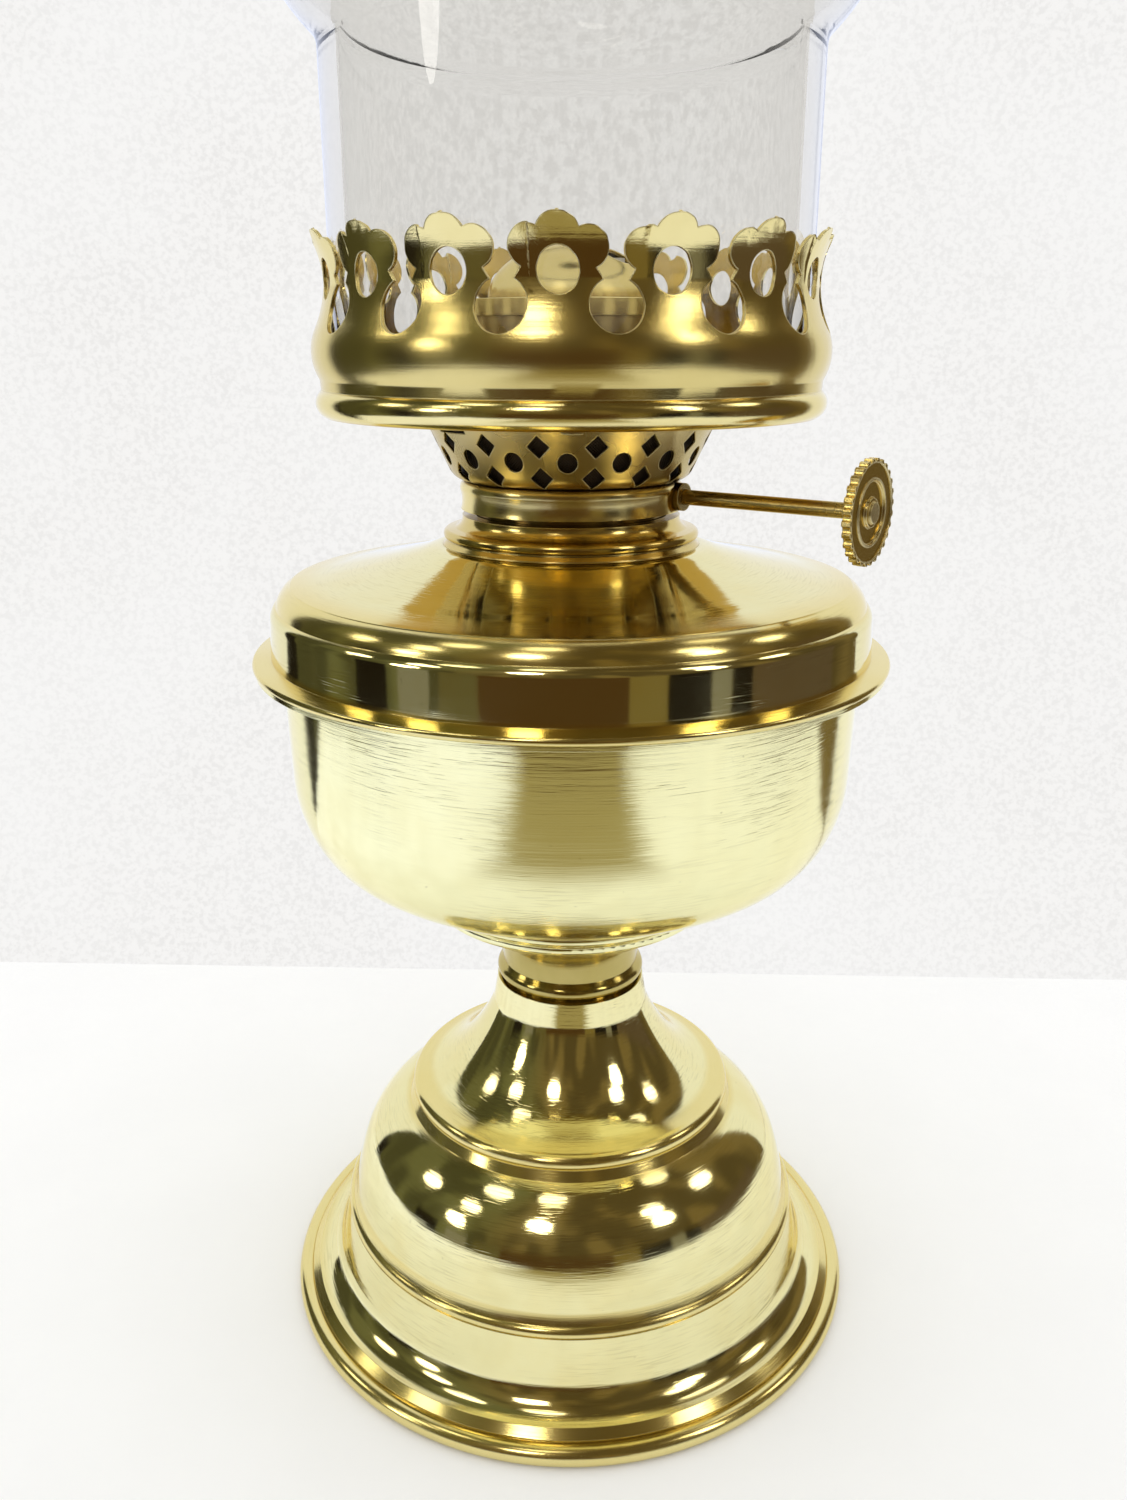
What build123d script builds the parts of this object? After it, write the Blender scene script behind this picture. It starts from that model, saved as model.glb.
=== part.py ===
from build123d import *

import os
from math import cos, pi, radians, sin

os.makedirs("parts", exist_ok=True)

# A brass table oil lamp: spun foot, neck ring, two-part tank, screw-in burner with a crown
# gallery, glass chimney. Millimetres, +Z up, origin at the centre of the foot's underside.

# ---------------------------------------------------------------- fits and sheets
running_fit = 0.05          # radial play of a shaft in its hole
joint_gap = 0.3             # play between parts that lift apart
foot_sheet = 1.0
tank_sheet = 0.9
burner_sheet = 0.5
gallery_sheet = 0.6

# ---------------------------------------------------------------- foot
foot_height = 62.8
rim_radius = 51.9           # centre of the rolled bead round the edge
rim_bead_radius = 1.8
rim_flat = 0.15             # how far the bead is flattened on the table
flare_foot_inset = 2.3      # flared step, in from the bead's centre
flare_foot_height = 4.8
flare_top_inset = 7.3
flare_top_height = 9.6
flare_dip = 1.1
wall_top_inset = 8.9        # nearly upright wall above the flare
wall_top_height = 16.6
step_roll_inset = 9.6       # soft roll that ends the step
step_roll_height = 18.6
step_roll_swell = 0.5
bulge_foot_inset = 10.3
bulge_foot_height = 19.8
bulge_swell = 3.0
bulge_top_radius = 30.6
bulge_top_height = 38.4
ridge_height = 4.2          # crease and ridge above the bulge
ridge_crease_height = 1.6
ridge_crease_inset = 1.0
ridge_inset = 2.2
ridge_swell = 0.9
throat_swell = 0.7          # hollow cone's top, out from the foot's flat top
throat_drop = 4.2
throat_dip = 3.0
foot_top_radius = 13.5

# ---------------------------------------------------------------- neck ring and its bolt
neck_height = 8.7
pedestal_inset = 1.2        # foot of the neck, in from the foot's flat top
pedestal_height = 0.6
neck_bead_height = 2.4
neck_bead_swell = 0.6
neck_bead_step = 0.6
neck_flare = 1.1
neck_dip = 0.5
stud_radius = 3.0
stud_flange_width = 4.0
stud_flange_height = 1.6
stud_bevel = 0.6
neck_bore_play = 1.5        # between the stud's flange and the neck ring
washer_play = 2.0           # between the washer and the inside of the foot
washer_height = 1.2
nut_flats = 10.0
nut_height = 5.0
stud_tail = 1.5             # stud showing below the nut

# ---------------------------------------------------------------- tank bowl
bowl_height = 52.8
bowl_radius = 48.6
bowl_floor_margin = 0.2     # bowl's flat floor, out from the neck ring
boss_radius = 24.6          # lowest of the turned rings under the bowl
boss_height = 7.1
boss_ring_height = 1.4
boss_ring_pitch = 2.0       # height from one turned ring to the next
boss_ring_width = 0.6
boss_ring_step = 0.9        # outward step from one turned ring to the next
boss_ring_swell = 0.35
boss_ring_count = 2
under_inset = 12.2          # turning points of the bowl's side, in from its top
under_height = 16.0
under_dip = 0.35
cheek_inset = 3.8
cheek_height = 22.5
cheek_swell = 0.95
side_inset = 0.5
side_height = 33.7
side_swell = 0.78
bowl_top_swell = 0.05
flange_width = 4.4          # seam flange round the bowl's top
flange_height = 0.8

# ---------------------------------------------------------------- tank shoulder
shoulder_height = 18.7
lip_overhang = 0.4          # lip, out from the bowl's flange
lip_height = 1.1
lip_swell = 0.3
lip_fillet_rise = 0.55
band_step = 1.7             # upright band, out from the bowl's top
band_height = 8.1
band_swell = 0.25
roll_foot_inset = 1.0
roll_foot_height = 9.8
roll_swell = 0.6
roll_top_inset = 3.9
roll_top_height = 13.1
cone_top_margin = 0.6       # cone's top, out from the collar's seat
cone_dip = 0.6

# ---------------------------------------------------------------- tank collar
tank_collar_height = 4.8
collar_bore = 15.9
collar_spigot = 2.4         # how far the collar reaches into the tank
collar_lip_wall = 2.1
collar_bead_width = 2.6
collar_bead_low = 1.0
collar_bead_height = 2.6
collar_bead_swell = 0.6
collar_seat_width = 0.8
collar_cove_width = 1.2
collar_cove_rise = 0.2
collar_cove_dip = 0.35

# ---------------------------------------------------------------- burner ring
thread_gap = 1.0            # open gap between the tank collar and the burner ring
ring_height = 4.6
ring_wall = 1.3
ring_waist = 0.2
ring_bead_height = 1.7
ring_bead_swell = 0.3
ring_bead_lean = 0.5
thread_length = 7.8
thread_wall = 0.8
ring_web = 0.8
floor_sheet = 0.8
floor_drop = 2.4            # floor's underside, below the burner ring

# ---------------------------------------------------------------- basket
basket_height = 10.2
basket_skirt_step = 0.95    # skirt, out from the collar's bore
basket_skirt_rise = 0.1
basket_lip_width = 1.1
basket_lip_rise = 0.1
basket_foot_step = 3.05
basket_foot_rise = 1.8
basket_foot_swell = 0.3
basket_flare = 4.0
basket_flange_width = 4.1
basket_flange_sheet = 0.6
basket_holes = 16
basket_turn = -1.8          # turn of the hole pattern from the front
round_hole_radius = 1.5
diamond_half = 1.75
upper_row_rise = 6.8        # rows of holes, above the burner ring
middle_row_rise = 4.4
lower_row_rise = 2.0
notch_width = 7.0
notch_height = 1.3
notch_turn = -53.0

# ---------------------------------------------------------------- gallery crown
gallery_height = 27.3
gallery_floor_inset = 1.4   # gallery's floor opening, in from the basket's top
grip_play = 0.4             # between the glass and the prongs that grip it
grip_height = 19.4
grip_swell = 0.3
gallery_bead_step = 0.7     # bead, groove, belly and tips, out from the grip
gallery_bead_lean = 0.5
gallery_bead_height = 4.1
gallery_bead_swell = 1.25
groove_step = 1.3
groove_height = 5.6
belly_top_step = 1.7
belly_top_height = 13.0
belly_swell = 0.9
tip_step = 1.5
tip_dip = 0.4
prong_count = 16
prong_turn = -2.8           # turn of the crown from the front
drop_radius = 3.6           # round foot of the gap between two prongs
drop_height = 16.0
spur_half = 1.7
spur_depth = 0.5
spur_height = 19.3
notch_half = 2.7
notch_centre_height = 20.8
notch_top_half = 1.5
notch_top_height = 21.8
side_lobe_radius = 2.75
side_lobe_centre = 3.8
side_lobe_height = 23.1
lobe_web = 1.93             # solid metal between the middle of a lobe and its edge
centre_lobe_radius = 2.8
prong_hole_half_width = 2.75
prong_hole_half_height = 3.0
prong_hole_height = 20.3

# ---------------------------------------------------------------- deck, drum and dome
deck_flat_margin = 3.0      # deck's flat, out from the basket's flange
deck_rim_run = 2.0
deck_rim_play = 0.2
deck_rim_height = 3.8
deck_hole_radius = 0.9
deck_hole_margin = 2.0      # ring of holes, out from the drum's flange
deck_hole_count = 24
rivet_inset = 2.1           # rivets, out from the basket's top
rivet_count = 4
rivet_radius = 0.9
rivet_head_width = 0.7
rivet_head_height = 0.6
drum_radius = 15.7
drum_height = 15.8
drum_flange_width = 2.5
drum_slots = 12
drum_slot_width = 2.0
drum_slot_height = 5.0
drum_slot_rise = 5.0
dome_radius = 13.2
dome_rise = 8.3
dome_skirt = 2.0
slot_end_play = 1.0         # flame slot round the wick
slot_side_play = 1.3
slot_rise = 0.1

# ---------------------------------------------------------------- wick and its tube
wick_width = 19.0
wick_thickness = 2.4
wick_play = 0.4
wick_tube_wall = 0.5
wick_tube_height = 37.0
wick_tube_drop = 5.5        # tube below the burner floor
wick_show = 3.5             # wick standing out of its tube
wick_length = 99.5
vent_offset = 7.0
vent_radius = 1.5
vent_wall = 0.5
vent_height = 30.0

# ---------------------------------------------------------------- spindle and thumbwheel
spindle_azimuth = -36.0     # direction of the thumbwheel, from +X
spindle_rise = 2.4          # above the burner ring's underside
spindle_radius = 1.2
spindle_reach = 50.6        # from the lamp's axis to the thumbwheel's outer face
spindle_tail = 2.4          # spindle's inner end, out from the cheek
rivet_end_width = 0.55
rivet_end_height = 0.4
rivet_end_taper = 30
spur_wheel_tip = 3.5
spur_wheel_root = 2.6
spur_wheel_teeth = 12
spur_tooth_root = 0.4       # how far the teeth reach into the wheel
spur_tooth_share = 0.8
spur_wheel_width = 1.2
spur_wheel_spread = 5.0
cheek_spread = 8.0
cheek_sheet = 0.8
cheek_tall = 8.2
cage_play = 1.66            # between the cage's corners and the thread
clip_width = 1.0
clip_length = 0.6
bush_wall = 0.95
bush_inner_step = 0.45      # bush's inner end, in from the basket's skirt
bush_outer_step = 0.6       # bush's outer end, out from the burner ring
thumbwheel_radius = 7.85
thumbwheel_width = 1.4
scallop_count = 28
scallop_radius = 0.6
scallop_out = 0.15
face_rim = 0.6
face_ridge_width = 0.45     # between the shallow step and the dished ring
face_step_depth = 0.2
face_dish_width = 2.25
face_hub_width = 1.1
face_dish_depth = 0.4
face_dish_taper = -20

# ---------------------------------------------------------------- chimney
glass_radius = 37.5
glass_wall = 3.0
fitter_height = 47.0        # levels above the glass's foot
glass_flare = 1.0
glass_flare_height = 49.4
bulb_radius = 49.5
bulb_height = 75.8
bulb_top_inset = 5.9
bulb_top_height = 106.0
waist_inset = 13.0
waist_height = 122.0
flue_radius = 27.0
flue_height = 166.0
chimney_height = 216.0

# ---------------------------------------------------------------- radii that follow others
neck_foot_radius = foot_top_radius - pedestal_inset
neck_radius = neck_foot_radius + neck_bead_step
neck_top_radius = neck_foot_radius + neck_flare
stud_flange_radius = stud_radius + stud_flange_width
neck_bore = stud_flange_radius + neck_bore_play
washer_radius = foot_top_radius - foot_sheet - washer_play
bowl_floor_radius = neck_top_radius + bowl_floor_margin
flange_radius = bowl_radius + flange_width
lip_radius = flange_radius + lip_overhang
band_radius = bowl_radius + band_step
collar_lip_radius = collar_bore + collar_lip_wall
collar_bead_radius = collar_lip_radius + collar_bead_width
collar_seat_radius = collar_bead_radius + collar_seat_width
cone_top_radius = collar_seat_radius + cone_top_margin
thread_radius = collar_bore - joint_gap
thread_bore = thread_radius - thread_wall
basket_skirt_radius = collar_bore + basket_skirt_step
basket_foot_radius = basket_skirt_radius + basket_foot_step
basket_top_radius = basket_foot_radius + basket_flare
basket_flange_radius = basket_top_radius + basket_flange_width
ring_bore = basket_skirt_radius + running_fit
ring_radius = ring_bore + ring_wall
rivet_ring_radius = basket_top_radius + rivet_inset
rivet_head_radius = rivet_radius + rivet_head_width
grip_radius = glass_radius + grip_play + gallery_sheet
gallery_bead_radius = grip_radius + gallery_bead_step
gallery_floor_bore = basket_top_radius - gallery_floor_inset
deck_bore = drum_radius - burner_sheet
deck_flat_radius = basket_flange_radius + deck_flat_margin
deck_rim_foot_radius = deck_flat_radius + deck_rim_run
deck_rim_radius = gallery_bead_radius - gallery_sheet - deck_rim_play
drum_flange_radius = drum_radius + drum_flange_width
deck_hole_ring_radius = drum_flange_radius + deck_hole_margin

# ---------------------------------------------------------------- levels up the lamp
foot_top = foot_height
tank_bottom = foot_top + neck_height
lip_level = tank_bottom + bowl_height
collar_seat = lip_level + shoulder_height
collar_top = collar_seat + tank_collar_height
ring_level = collar_top + thread_gap
ring_top = ring_level + ring_height
gallery_level = ring_top + basket_height
deck_level = gallery_level + gallery_sheet
deck_top = deck_level + gallery_sheet
chimney_level = deck_level + deck_rim_height + gallery_sheet
crown_top = gallery_level + gallery_height
drum_top = deck_top + drum_height
dome_base = drum_top + burner_sheet
thread_bottom = ring_level + ring_web - thread_length
floor_level = ring_level - floor_drop
spindle_level = ring_level + spindle_rise
tube_bottom = floor_level - wick_tube_drop
tube_top = floor_level + wick_tube_height
wick_top = tube_top + wick_show

# ---------------------------------------------------------------- shared directions
# The wick's width and the spindle lie along the same direction; "side" is square to it.
spindle_dir = Vector(cos(radians(spindle_azimuth)), sin(radians(spindle_azimuth)), 0)
side_dir = Vector(-spindle_dir.Y, spindle_dir.X, 0)
burner_plane = Plane(origin=(0, 0, 0), x_dir=spindle_dir, z_dir=(0, 0, 1))
spindle_offset = wick_thickness / 2 + joint_gap + spur_wheel_tip
spindle_origin = side_dir * spindle_offset + Vector(0, 0, spindle_level)
spindle_plane = Plane(origin=spindle_origin, x_dir=side_dir, z_dir=spindle_dir)

tube_width = wick_width + 2 * wick_play
tube_gap = wick_thickness + 2 * wick_play
tube_outer_width = tube_width + 2 * wick_tube_wall
tube_outer_gap = tube_gap + 2 * wick_tube_wall

# The cage stands against the tube; its outer corners stay clear of the thread.
cage_near = tube_outer_gap / 2
cage_side = cheek_spread + cheek_sheet / 2
cage_far = ((thread_bore - cage_play) ** 2 - cage_side**2) ** 0.5
cheek_depth = cage_far - cage_near
spindle_inner_end = cheek_spread + spindle_tail
bush_radius = spindle_radius + running_fit + bush_wall
bush_inner_reach = basket_skirt_radius - burner_sheet - bush_inner_step
bush_outer_reach = ring_radius + bush_outer_step


# ================================================================ foot
# Spun shell: rolled rim, flared step with a soft roll, round bulge, ridge, hollow cone, flat top.
with BuildPart() as foot:
    with BuildSketch(Plane.XZ) as foot_section:
        with BuildLine():
            rim_inside = rim_radius - rim_bead_radius / 2
            flare_foot = (rim_radius - flare_foot_inset, flare_foot_height)
            flare_top = (rim_radius - flare_top_inset, flare_top_height)
            wall_top = (rim_radius - wall_top_inset, wall_top_height)
            step_roll = (rim_radius - step_roll_inset, step_roll_height)
            bulge_foot = (rim_radius - bulge_foot_inset, bulge_foot_height)
            bulge_top = (bulge_top_radius, bulge_top_height)
            crease = (bulge_top_radius - ridge_crease_inset, bulge_top_height + ridge_crease_height)
            ridge = (bulge_top_radius - ridge_inset, bulge_top_height + ridge_height)
            throat = (foot_top_radius + throat_swell, foot_top - throat_drop)
            Line((rim_inside, rim_bead_radius), (rim_inside, rim_bead_radius * 2))
            Line((rim_inside, rim_bead_radius * 2), flare_foot)
            SagittaArc(flare_foot, flare_top, flare_dip)
            Line(flare_top, wall_top)
            SagittaArc(wall_top, step_roll, -step_roll_swell)
            Line(step_roll, bulge_foot)
            SagittaArc(bulge_foot, bulge_top, -bulge_swell)
            Line(bulge_top, crease)
            SagittaArc(crease, ridge, -ridge_swell)
            SagittaArc(ridge, throat, throat_dip)
            Line(throat, (foot_top_radius, foot_top))
            Line((foot_top_radius, foot_top), (stud_radius + running_fit, foot_top))
            offset(amount=foot_sheet, side=Side.LEFT)
        make_face()
    revolve(axis=Axis.Z)
    with BuildSketch(Plane.XZ) as rim_section:
        with Locations((rim_radius, rim_bead_radius - rim_flat)):
            Circle(rim_bead_radius)
        with Locations((rim_radius, -rim_bead_radius)):
            Rectangle(4 * rim_bead_radius, 2 * rim_bead_radius, mode=Mode.SUBTRACT)
    revolve(axis=Axis.Z)
foot.part.label = "foot"
export_step(foot.part, "parts/foot.step")

# ================================================================ neck ring
with BuildPart() as neck_ring:
    with BuildSketch(Plane.XZ) as neck_section:
        with BuildLine():
            bead_foot = foot_top + pedestal_height
            bead_top = bead_foot + neck_bead_height
            Polyline(
                (neck_top_radius, tank_bottom),
                (neck_bore, tank_bottom),
                (neck_bore, foot_top),
                (neck_foot_radius, foot_top),
                (neck_foot_radius, bead_foot),
                (neck_radius, bead_foot),
            )
            SagittaArc((neck_radius, bead_foot), (neck_radius, bead_top), -neck_bead_swell)
            waist = (neck_foot_radius, bead_top + pedestal_height)
            Line((neck_radius, bead_top), waist)
            SagittaArc(waist, (neck_top_radius, tank_bottom), neck_dip)
        make_face()
    revolve(axis=Axis.Z)
neck_ring.part.label = "neck_ring"
export_step(neck_ring.part, "parts/neck_ring.step")

# ================================================================ stud, washer and nut
# The stud hangs from the tank's floor, passes the foot's flat top and clamps it.
washer_level = foot_top - foot_sheet - washer_height
nut_level = washer_level - nut_height

with BuildPart() as stem_stud:
    with BuildSketch(Plane.XY.offset(nut_level - stud_tail)):
        Circle(stud_radius)
    extrude(amount=tank_bottom - nut_level + stud_tail)
    with BuildSketch(Plane.XY.offset(tank_bottom - stud_flange_height)):
        Circle(stud_flange_radius)
    extrude(amount=stud_flange_height)
    chamfer(stem_stud.edges().sort_by(Axis.Z)[0], length=stud_bevel)
stem_stud.part.label = "stem_stud"
export_step(stem_stud.part, "parts/stem_stud.step")

with BuildPart() as stem_washer:
    with BuildSketch(Plane.XY.offset(washer_level)):
        Circle(washer_radius)
        Circle(stud_radius + running_fit, mode=Mode.SUBTRACT)
    extrude(amount=washer_height)
stem_washer.part.label = "stem_washer"
export_step(stem_washer.part, "parts/stem_washer.step")

with BuildPart() as stem_nut:
    with BuildSketch(Plane.XY.offset(nut_level)):
        RegularPolygon(radius=nut_flats / 2, side_count=6, major_radius=False)
        Circle(stud_radius + running_fit, mode=Mode.SUBTRACT)
    extrude(amount=nut_height)
stem_nut.part.label = "stem_nut"
export_step(stem_nut.part, "parts/stem_nut.step")

# ================================================================ bowl
# Lower half of the tank: flat floor, turned rings on the underside, deep round side, flange.
with BuildPart() as bowl:
    with BuildSketch(Plane.XZ) as bowl_section:
        with BuildLine():
            Line((0, tank_bottom), (bowl_floor_radius, tank_bottom))
            ring_radius_now = boss_radius
            ring_level_now = tank_bottom + boss_height
            Line((bowl_floor_radius, tank_bottom), (ring_radius_now, ring_level_now))
            for ring in range(boss_ring_count):
                ring_end = (ring_radius_now + boss_ring_width, ring_level_now + boss_ring_height)
                SagittaArc((ring_radius_now, ring_level_now), ring_end, -boss_ring_swell)
                ring_radius_now += boss_ring_step
                ring_level_now += boss_ring_pitch
                Line(ring_end, (ring_radius_now, ring_level_now))
            under_point = (bowl_radius - under_inset, tank_bottom + under_height)
            cheek_point = (bowl_radius - cheek_inset, tank_bottom + cheek_height)
            side_point = (bowl_radius - side_inset, tank_bottom + side_height)
            SagittaArc((ring_radius_now, ring_level_now), under_point, under_dip)
            SagittaArc(under_point, cheek_point, -cheek_swell)
            SagittaArc(cheek_point, side_point, -side_swell)
            SagittaArc(side_point, (bowl_radius, lip_level), -bowl_top_swell)
            offset(amount=tank_sheet, side=Side.LEFT)
        make_face()
    revolve(axis=Axis.Z)
    with BuildSketch(Plane.XY.offset(lip_level - flange_height)):
        Circle(flange_radius)
        Circle(bowl_radius - tank_sheet / 2, mode=Mode.SUBTRACT)
    extrude(amount=flange_height)
bowl.part.label = "bowl"
export_step(bowl.part, "parts/bowl.step")

# ================================================================ shoulder
# Upper half of the tank: lip over the bowl's flange, upright band, roll and dished cone.
with BuildPart() as shoulder:
    with BuildSketch(Plane.XZ) as shoulder_section:
        with BuildLine():
            band_foot = (band_radius, lip_level)
            band_top = (band_radius, lip_level + band_height)
            roll_foot = (band_radius - roll_foot_inset, lip_level + roll_foot_height)
            roll_top = (band_radius - roll_top_inset, lip_level + roll_top_height)
            cone_top = (cone_top_radius, collar_seat)
            Line(band_foot, band_top)
            SagittaArc(band_top, roll_foot, -band_swell)
            SagittaArc(roll_foot, roll_top, -roll_swell)
            SagittaArc(roll_top, cone_top, cone_dip)
            Line(cone_top, (collar_bore + tank_sheet + running_fit, collar_seat))
            offset(amount=tank_sheet, side=Side.LEFT)
        make_face()
    revolve(axis=Axis.Z)
    with BuildSketch(Plane.XZ) as lip_section:
        with BuildLine():
            lip_half = (lip_radius - lip_swell, lip_level)
            lip_over = (lip_radius - lip_swell, lip_level + lip_height)
            SagittaArc(lip_half, lip_over, -lip_swell)
            Polyline(
                lip_over,
                (band_radius - tank_sheet / 2, lip_level + lip_height + lip_fillet_rise),
                (band_radius - tank_sheet / 2, lip_level),
                lip_half,
            )
        make_face()
    revolve(axis=Axis.Z)
shoulder.part.label = "shoulder"
export_step(shoulder.part, "parts/shoulder.step")

# ================================================================ tank collar
with BuildPart() as tank_collar:
    with BuildSketch(Plane.XZ) as collar_section:
        with BuildLine():
            bead_low = collar_seat + collar_bead_low
            bead_high = collar_seat + collar_bead_height
            Polyline(
                (collar_lip_radius, collar_top),
                (collar_bore, collar_top),
                (collar_bore, collar_seat - collar_spigot),
                (collar_bore + tank_sheet, collar_seat - collar_spigot),
                (collar_bore + tank_sheet, collar_seat),
                (collar_seat_radius, collar_seat),
                (collar_bead_radius, bead_low),
            )
            bead_end = (collar_bead_radius, bead_high)
            cove = (collar_lip_radius + collar_cove_width, bead_high + collar_cove_rise)
            SagittaArc((collar_bead_radius, bead_low), bead_end, -collar_bead_swell)
            Line(bead_end, cove)
            SagittaArc(cove, (collar_lip_radius, collar_top), collar_cove_dip)
        make_face()
    revolve(axis=Axis.Z)
tank_collar.part.label = "tank_collar"
export_step(tank_collar.part, "parts/tank_collar.step")

# ================================================================ burner ring
# Screws into the tank collar; its upper cup holds the basket's skirt and the spindle's bush.
with BuildPart() as burner_ring:
    with BuildSketch(Plane.XZ) as ring_section:
        with BuildLine():
            band_end = ring_top - ring_bead_height
            Polyline(
                (ring_radius - ring_bead_lean, ring_top),
                (ring_bore, ring_top),
                (ring_bore, ring_level + ring_web),
                (thread_bore, ring_level + ring_web),
                (thread_bore, thread_bottom),
                (thread_radius, thread_bottom),
                (thread_radius, ring_level),
                (ring_radius, ring_level),
            )
            SagittaArc((ring_radius, ring_level), (ring_radius, band_end), ring_waist)
            ring_edge = (ring_radius - ring_bead_lean, ring_top)
            SagittaArc((ring_radius, band_end), ring_edge, -ring_bead_swell)
        make_face()
    revolve(axis=Axis.Z)
    with BuildSketch(spindle_plane.offset(bush_inner_reach / 2)):
        Circle(bush_radius + running_fit)
    extrude(amount=bush_outer_reach, mode=Mode.SUBTRACT)
burner_ring.part.label = "burner_ring"
export_step(burner_ring.part, "parts/burner_ring.step")

# ================================================================ burner floor
with BuildPart() as burner_floor:
    with BuildSketch(burner_plane.offset(floor_level)):
        Circle(thread_bore)
        Rectangle(tube_outer_width, tube_outer_gap, mode=Mode.SUBTRACT)
        with Locations((0, -vent_offset)):
            Circle(vent_radius, mode=Mode.SUBTRACT)
    extrude(amount=floor_sheet)
burner_floor.part.label = "burner_floor"
export_step(burner_floor.part, "parts/burner_floor.step")

# ================================================================ basket
# Flared cup with three rows of holes; it carries the gallery on its top flange.
# The cutter is one pitch of the pattern: a round hole and, half a pitch on, two diamonds.
half_pitch = 180.0 / basket_holes

with BuildPart() as basket_cutter:
    with BuildSketch(Plane.XZ.offset(basket_skirt_radius / 2)):
        with Locations((0, ring_top + middle_row_rise)):
            Circle(round_hole_radius)
    extrude(amount=basket_top_radius)
    with BuildSketch(Plane.XZ.rotated((0, 0, half_pitch)).offset(basket_skirt_radius / 2)):
        with Locations((0, ring_top + upper_row_rise), (0, ring_top + lower_row_rise)):
            Rectangle(diamond_half * 2**0.5, diamond_half * 2**0.5, rotation=45)
    extrude(amount=basket_top_radius)

with BuildPart() as basket:
    with BuildSketch(Plane.XZ) as basket_section:
        with BuildLine():
            skirt_low = (basket_skirt_radius, ring_level + ring_web)
            skirt_end = ring_top + basket_skirt_rise
            skirt_top = (basket_skirt_radius, skirt_end)
            cup_foot = (basket_skirt_radius + basket_lip_width, skirt_end + basket_lip_rise)
            cup_side = (basket_foot_radius, ring_top + basket_foot_rise)
            cup_top = (basket_top_radius, gallery_level)
            Line(skirt_low, skirt_top)
            Line(skirt_top, cup_foot)
            SagittaArc(cup_foot, cup_side, -basket_foot_swell)
            Line(cup_side, cup_top)
            offset(amount=burner_sheet, side=Side.LEFT)
        make_face()
        with Locations((0, gallery_level + burner_sheet)):
            Rectangle(3 * basket_top_radius, 2 * burner_sheet, mode=Mode.SUBTRACT)
    revolve(axis=Axis.Z)
    with PolarLocations(0, basket_holes, start_angle=basket_turn):
        add(basket_cutter.part, mode=Mode.SUBTRACT)
    with BuildSketch(Plane.XZ.rotated((0, 0, notch_turn)).offset(basket_top_radius / 2)):
        with Locations((0, gallery_level - basket_flange_sheet - notch_height / 2)):
            Rectangle(notch_width, notch_height)
    extrude(amount=basket_top_radius, mode=Mode.SUBTRACT)
    with BuildSketch(spindle_plane.offset(bush_inner_reach / 2)):
        Circle(bush_radius + running_fit)
    extrude(amount=bush_outer_reach, mode=Mode.SUBTRACT)
    with BuildSketch(Plane.XY.offset(gallery_level - basket_flange_sheet)):
        Circle(basket_flange_radius)
        Circle(basket_top_radius - basket_flange_sheet, mode=Mode.SUBTRACT)
        with PolarLocations(rivet_ring_radius, rivet_count):
            Circle(rivet_radius + running_fit, mode=Mode.SUBTRACT)
    extrude(amount=basket_flange_sheet)
basket.part.label = "basket"
export_step(basket.part, "parts/basket.step")

# ================================================================ gallery
# One spun sheet: flat floor, bead, groove and belly, then a crown of pierced prongs.
# The gap cutter spans from the middle of one prong to the middle of the next.
prong_pitch = 2 * grip_radius * sin(pi / prong_count)
lobe_offset = prong_pitch / 2 - side_lobe_centre

with BuildPart() as gap_cutter:
    with BuildSketch(Plane.XZ.offset(grip_radius / 2)):
        with Locations((0, gallery_level + drop_height)):
            Circle(drop_radius)
        spur = (spur_half, gallery_level + spur_height - spur_depth)
        spur_tip = (spur_half, gallery_level + spur_height)
        notch_side = (notch_half, gallery_level + notch_centre_height)
        notch_end = (notch_top_half, gallery_level + notch_top_height)
        right_side = [spur, spur_tip, notch_side, notch_end]
        left_side = [(-x, z) for x, z in reversed(right_side)]
        Polygon(*right_side, *left_side, align=None)
        head_height = 2 * (gallery_height - notch_top_height)
        with Locations((0, gallery_level + notch_top_height)):
            Rectangle(prong_pitch, head_height, align=(Align.CENTER, Align.MIN))
        lobe_level = gallery_level + side_lobe_height
        centre_level = crown_top - centre_lobe_radius
        for side in (-1, 1):
            with Locations((side * lobe_offset, lobe_level)):
                Circle(side_lobe_radius, mode=Mode.SUBTRACT)
            with Locations((side * prong_pitch / 2, centre_level)):
                Circle(centre_lobe_radius, mode=Mode.SUBTRACT)
            head = [
                (side * prong_pitch / 2, gallery_level + notch_top_height),
                (side * (lobe_offset - lobe_web), gallery_level + notch_top_height),
                (side * lobe_offset, lobe_level + lobe_web),
                (side * prong_pitch / 2, centre_level),
            ]
            Polygon(*head, align=None, mode=Mode.SUBTRACT)
    extrude(amount=grip_radius)

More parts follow.
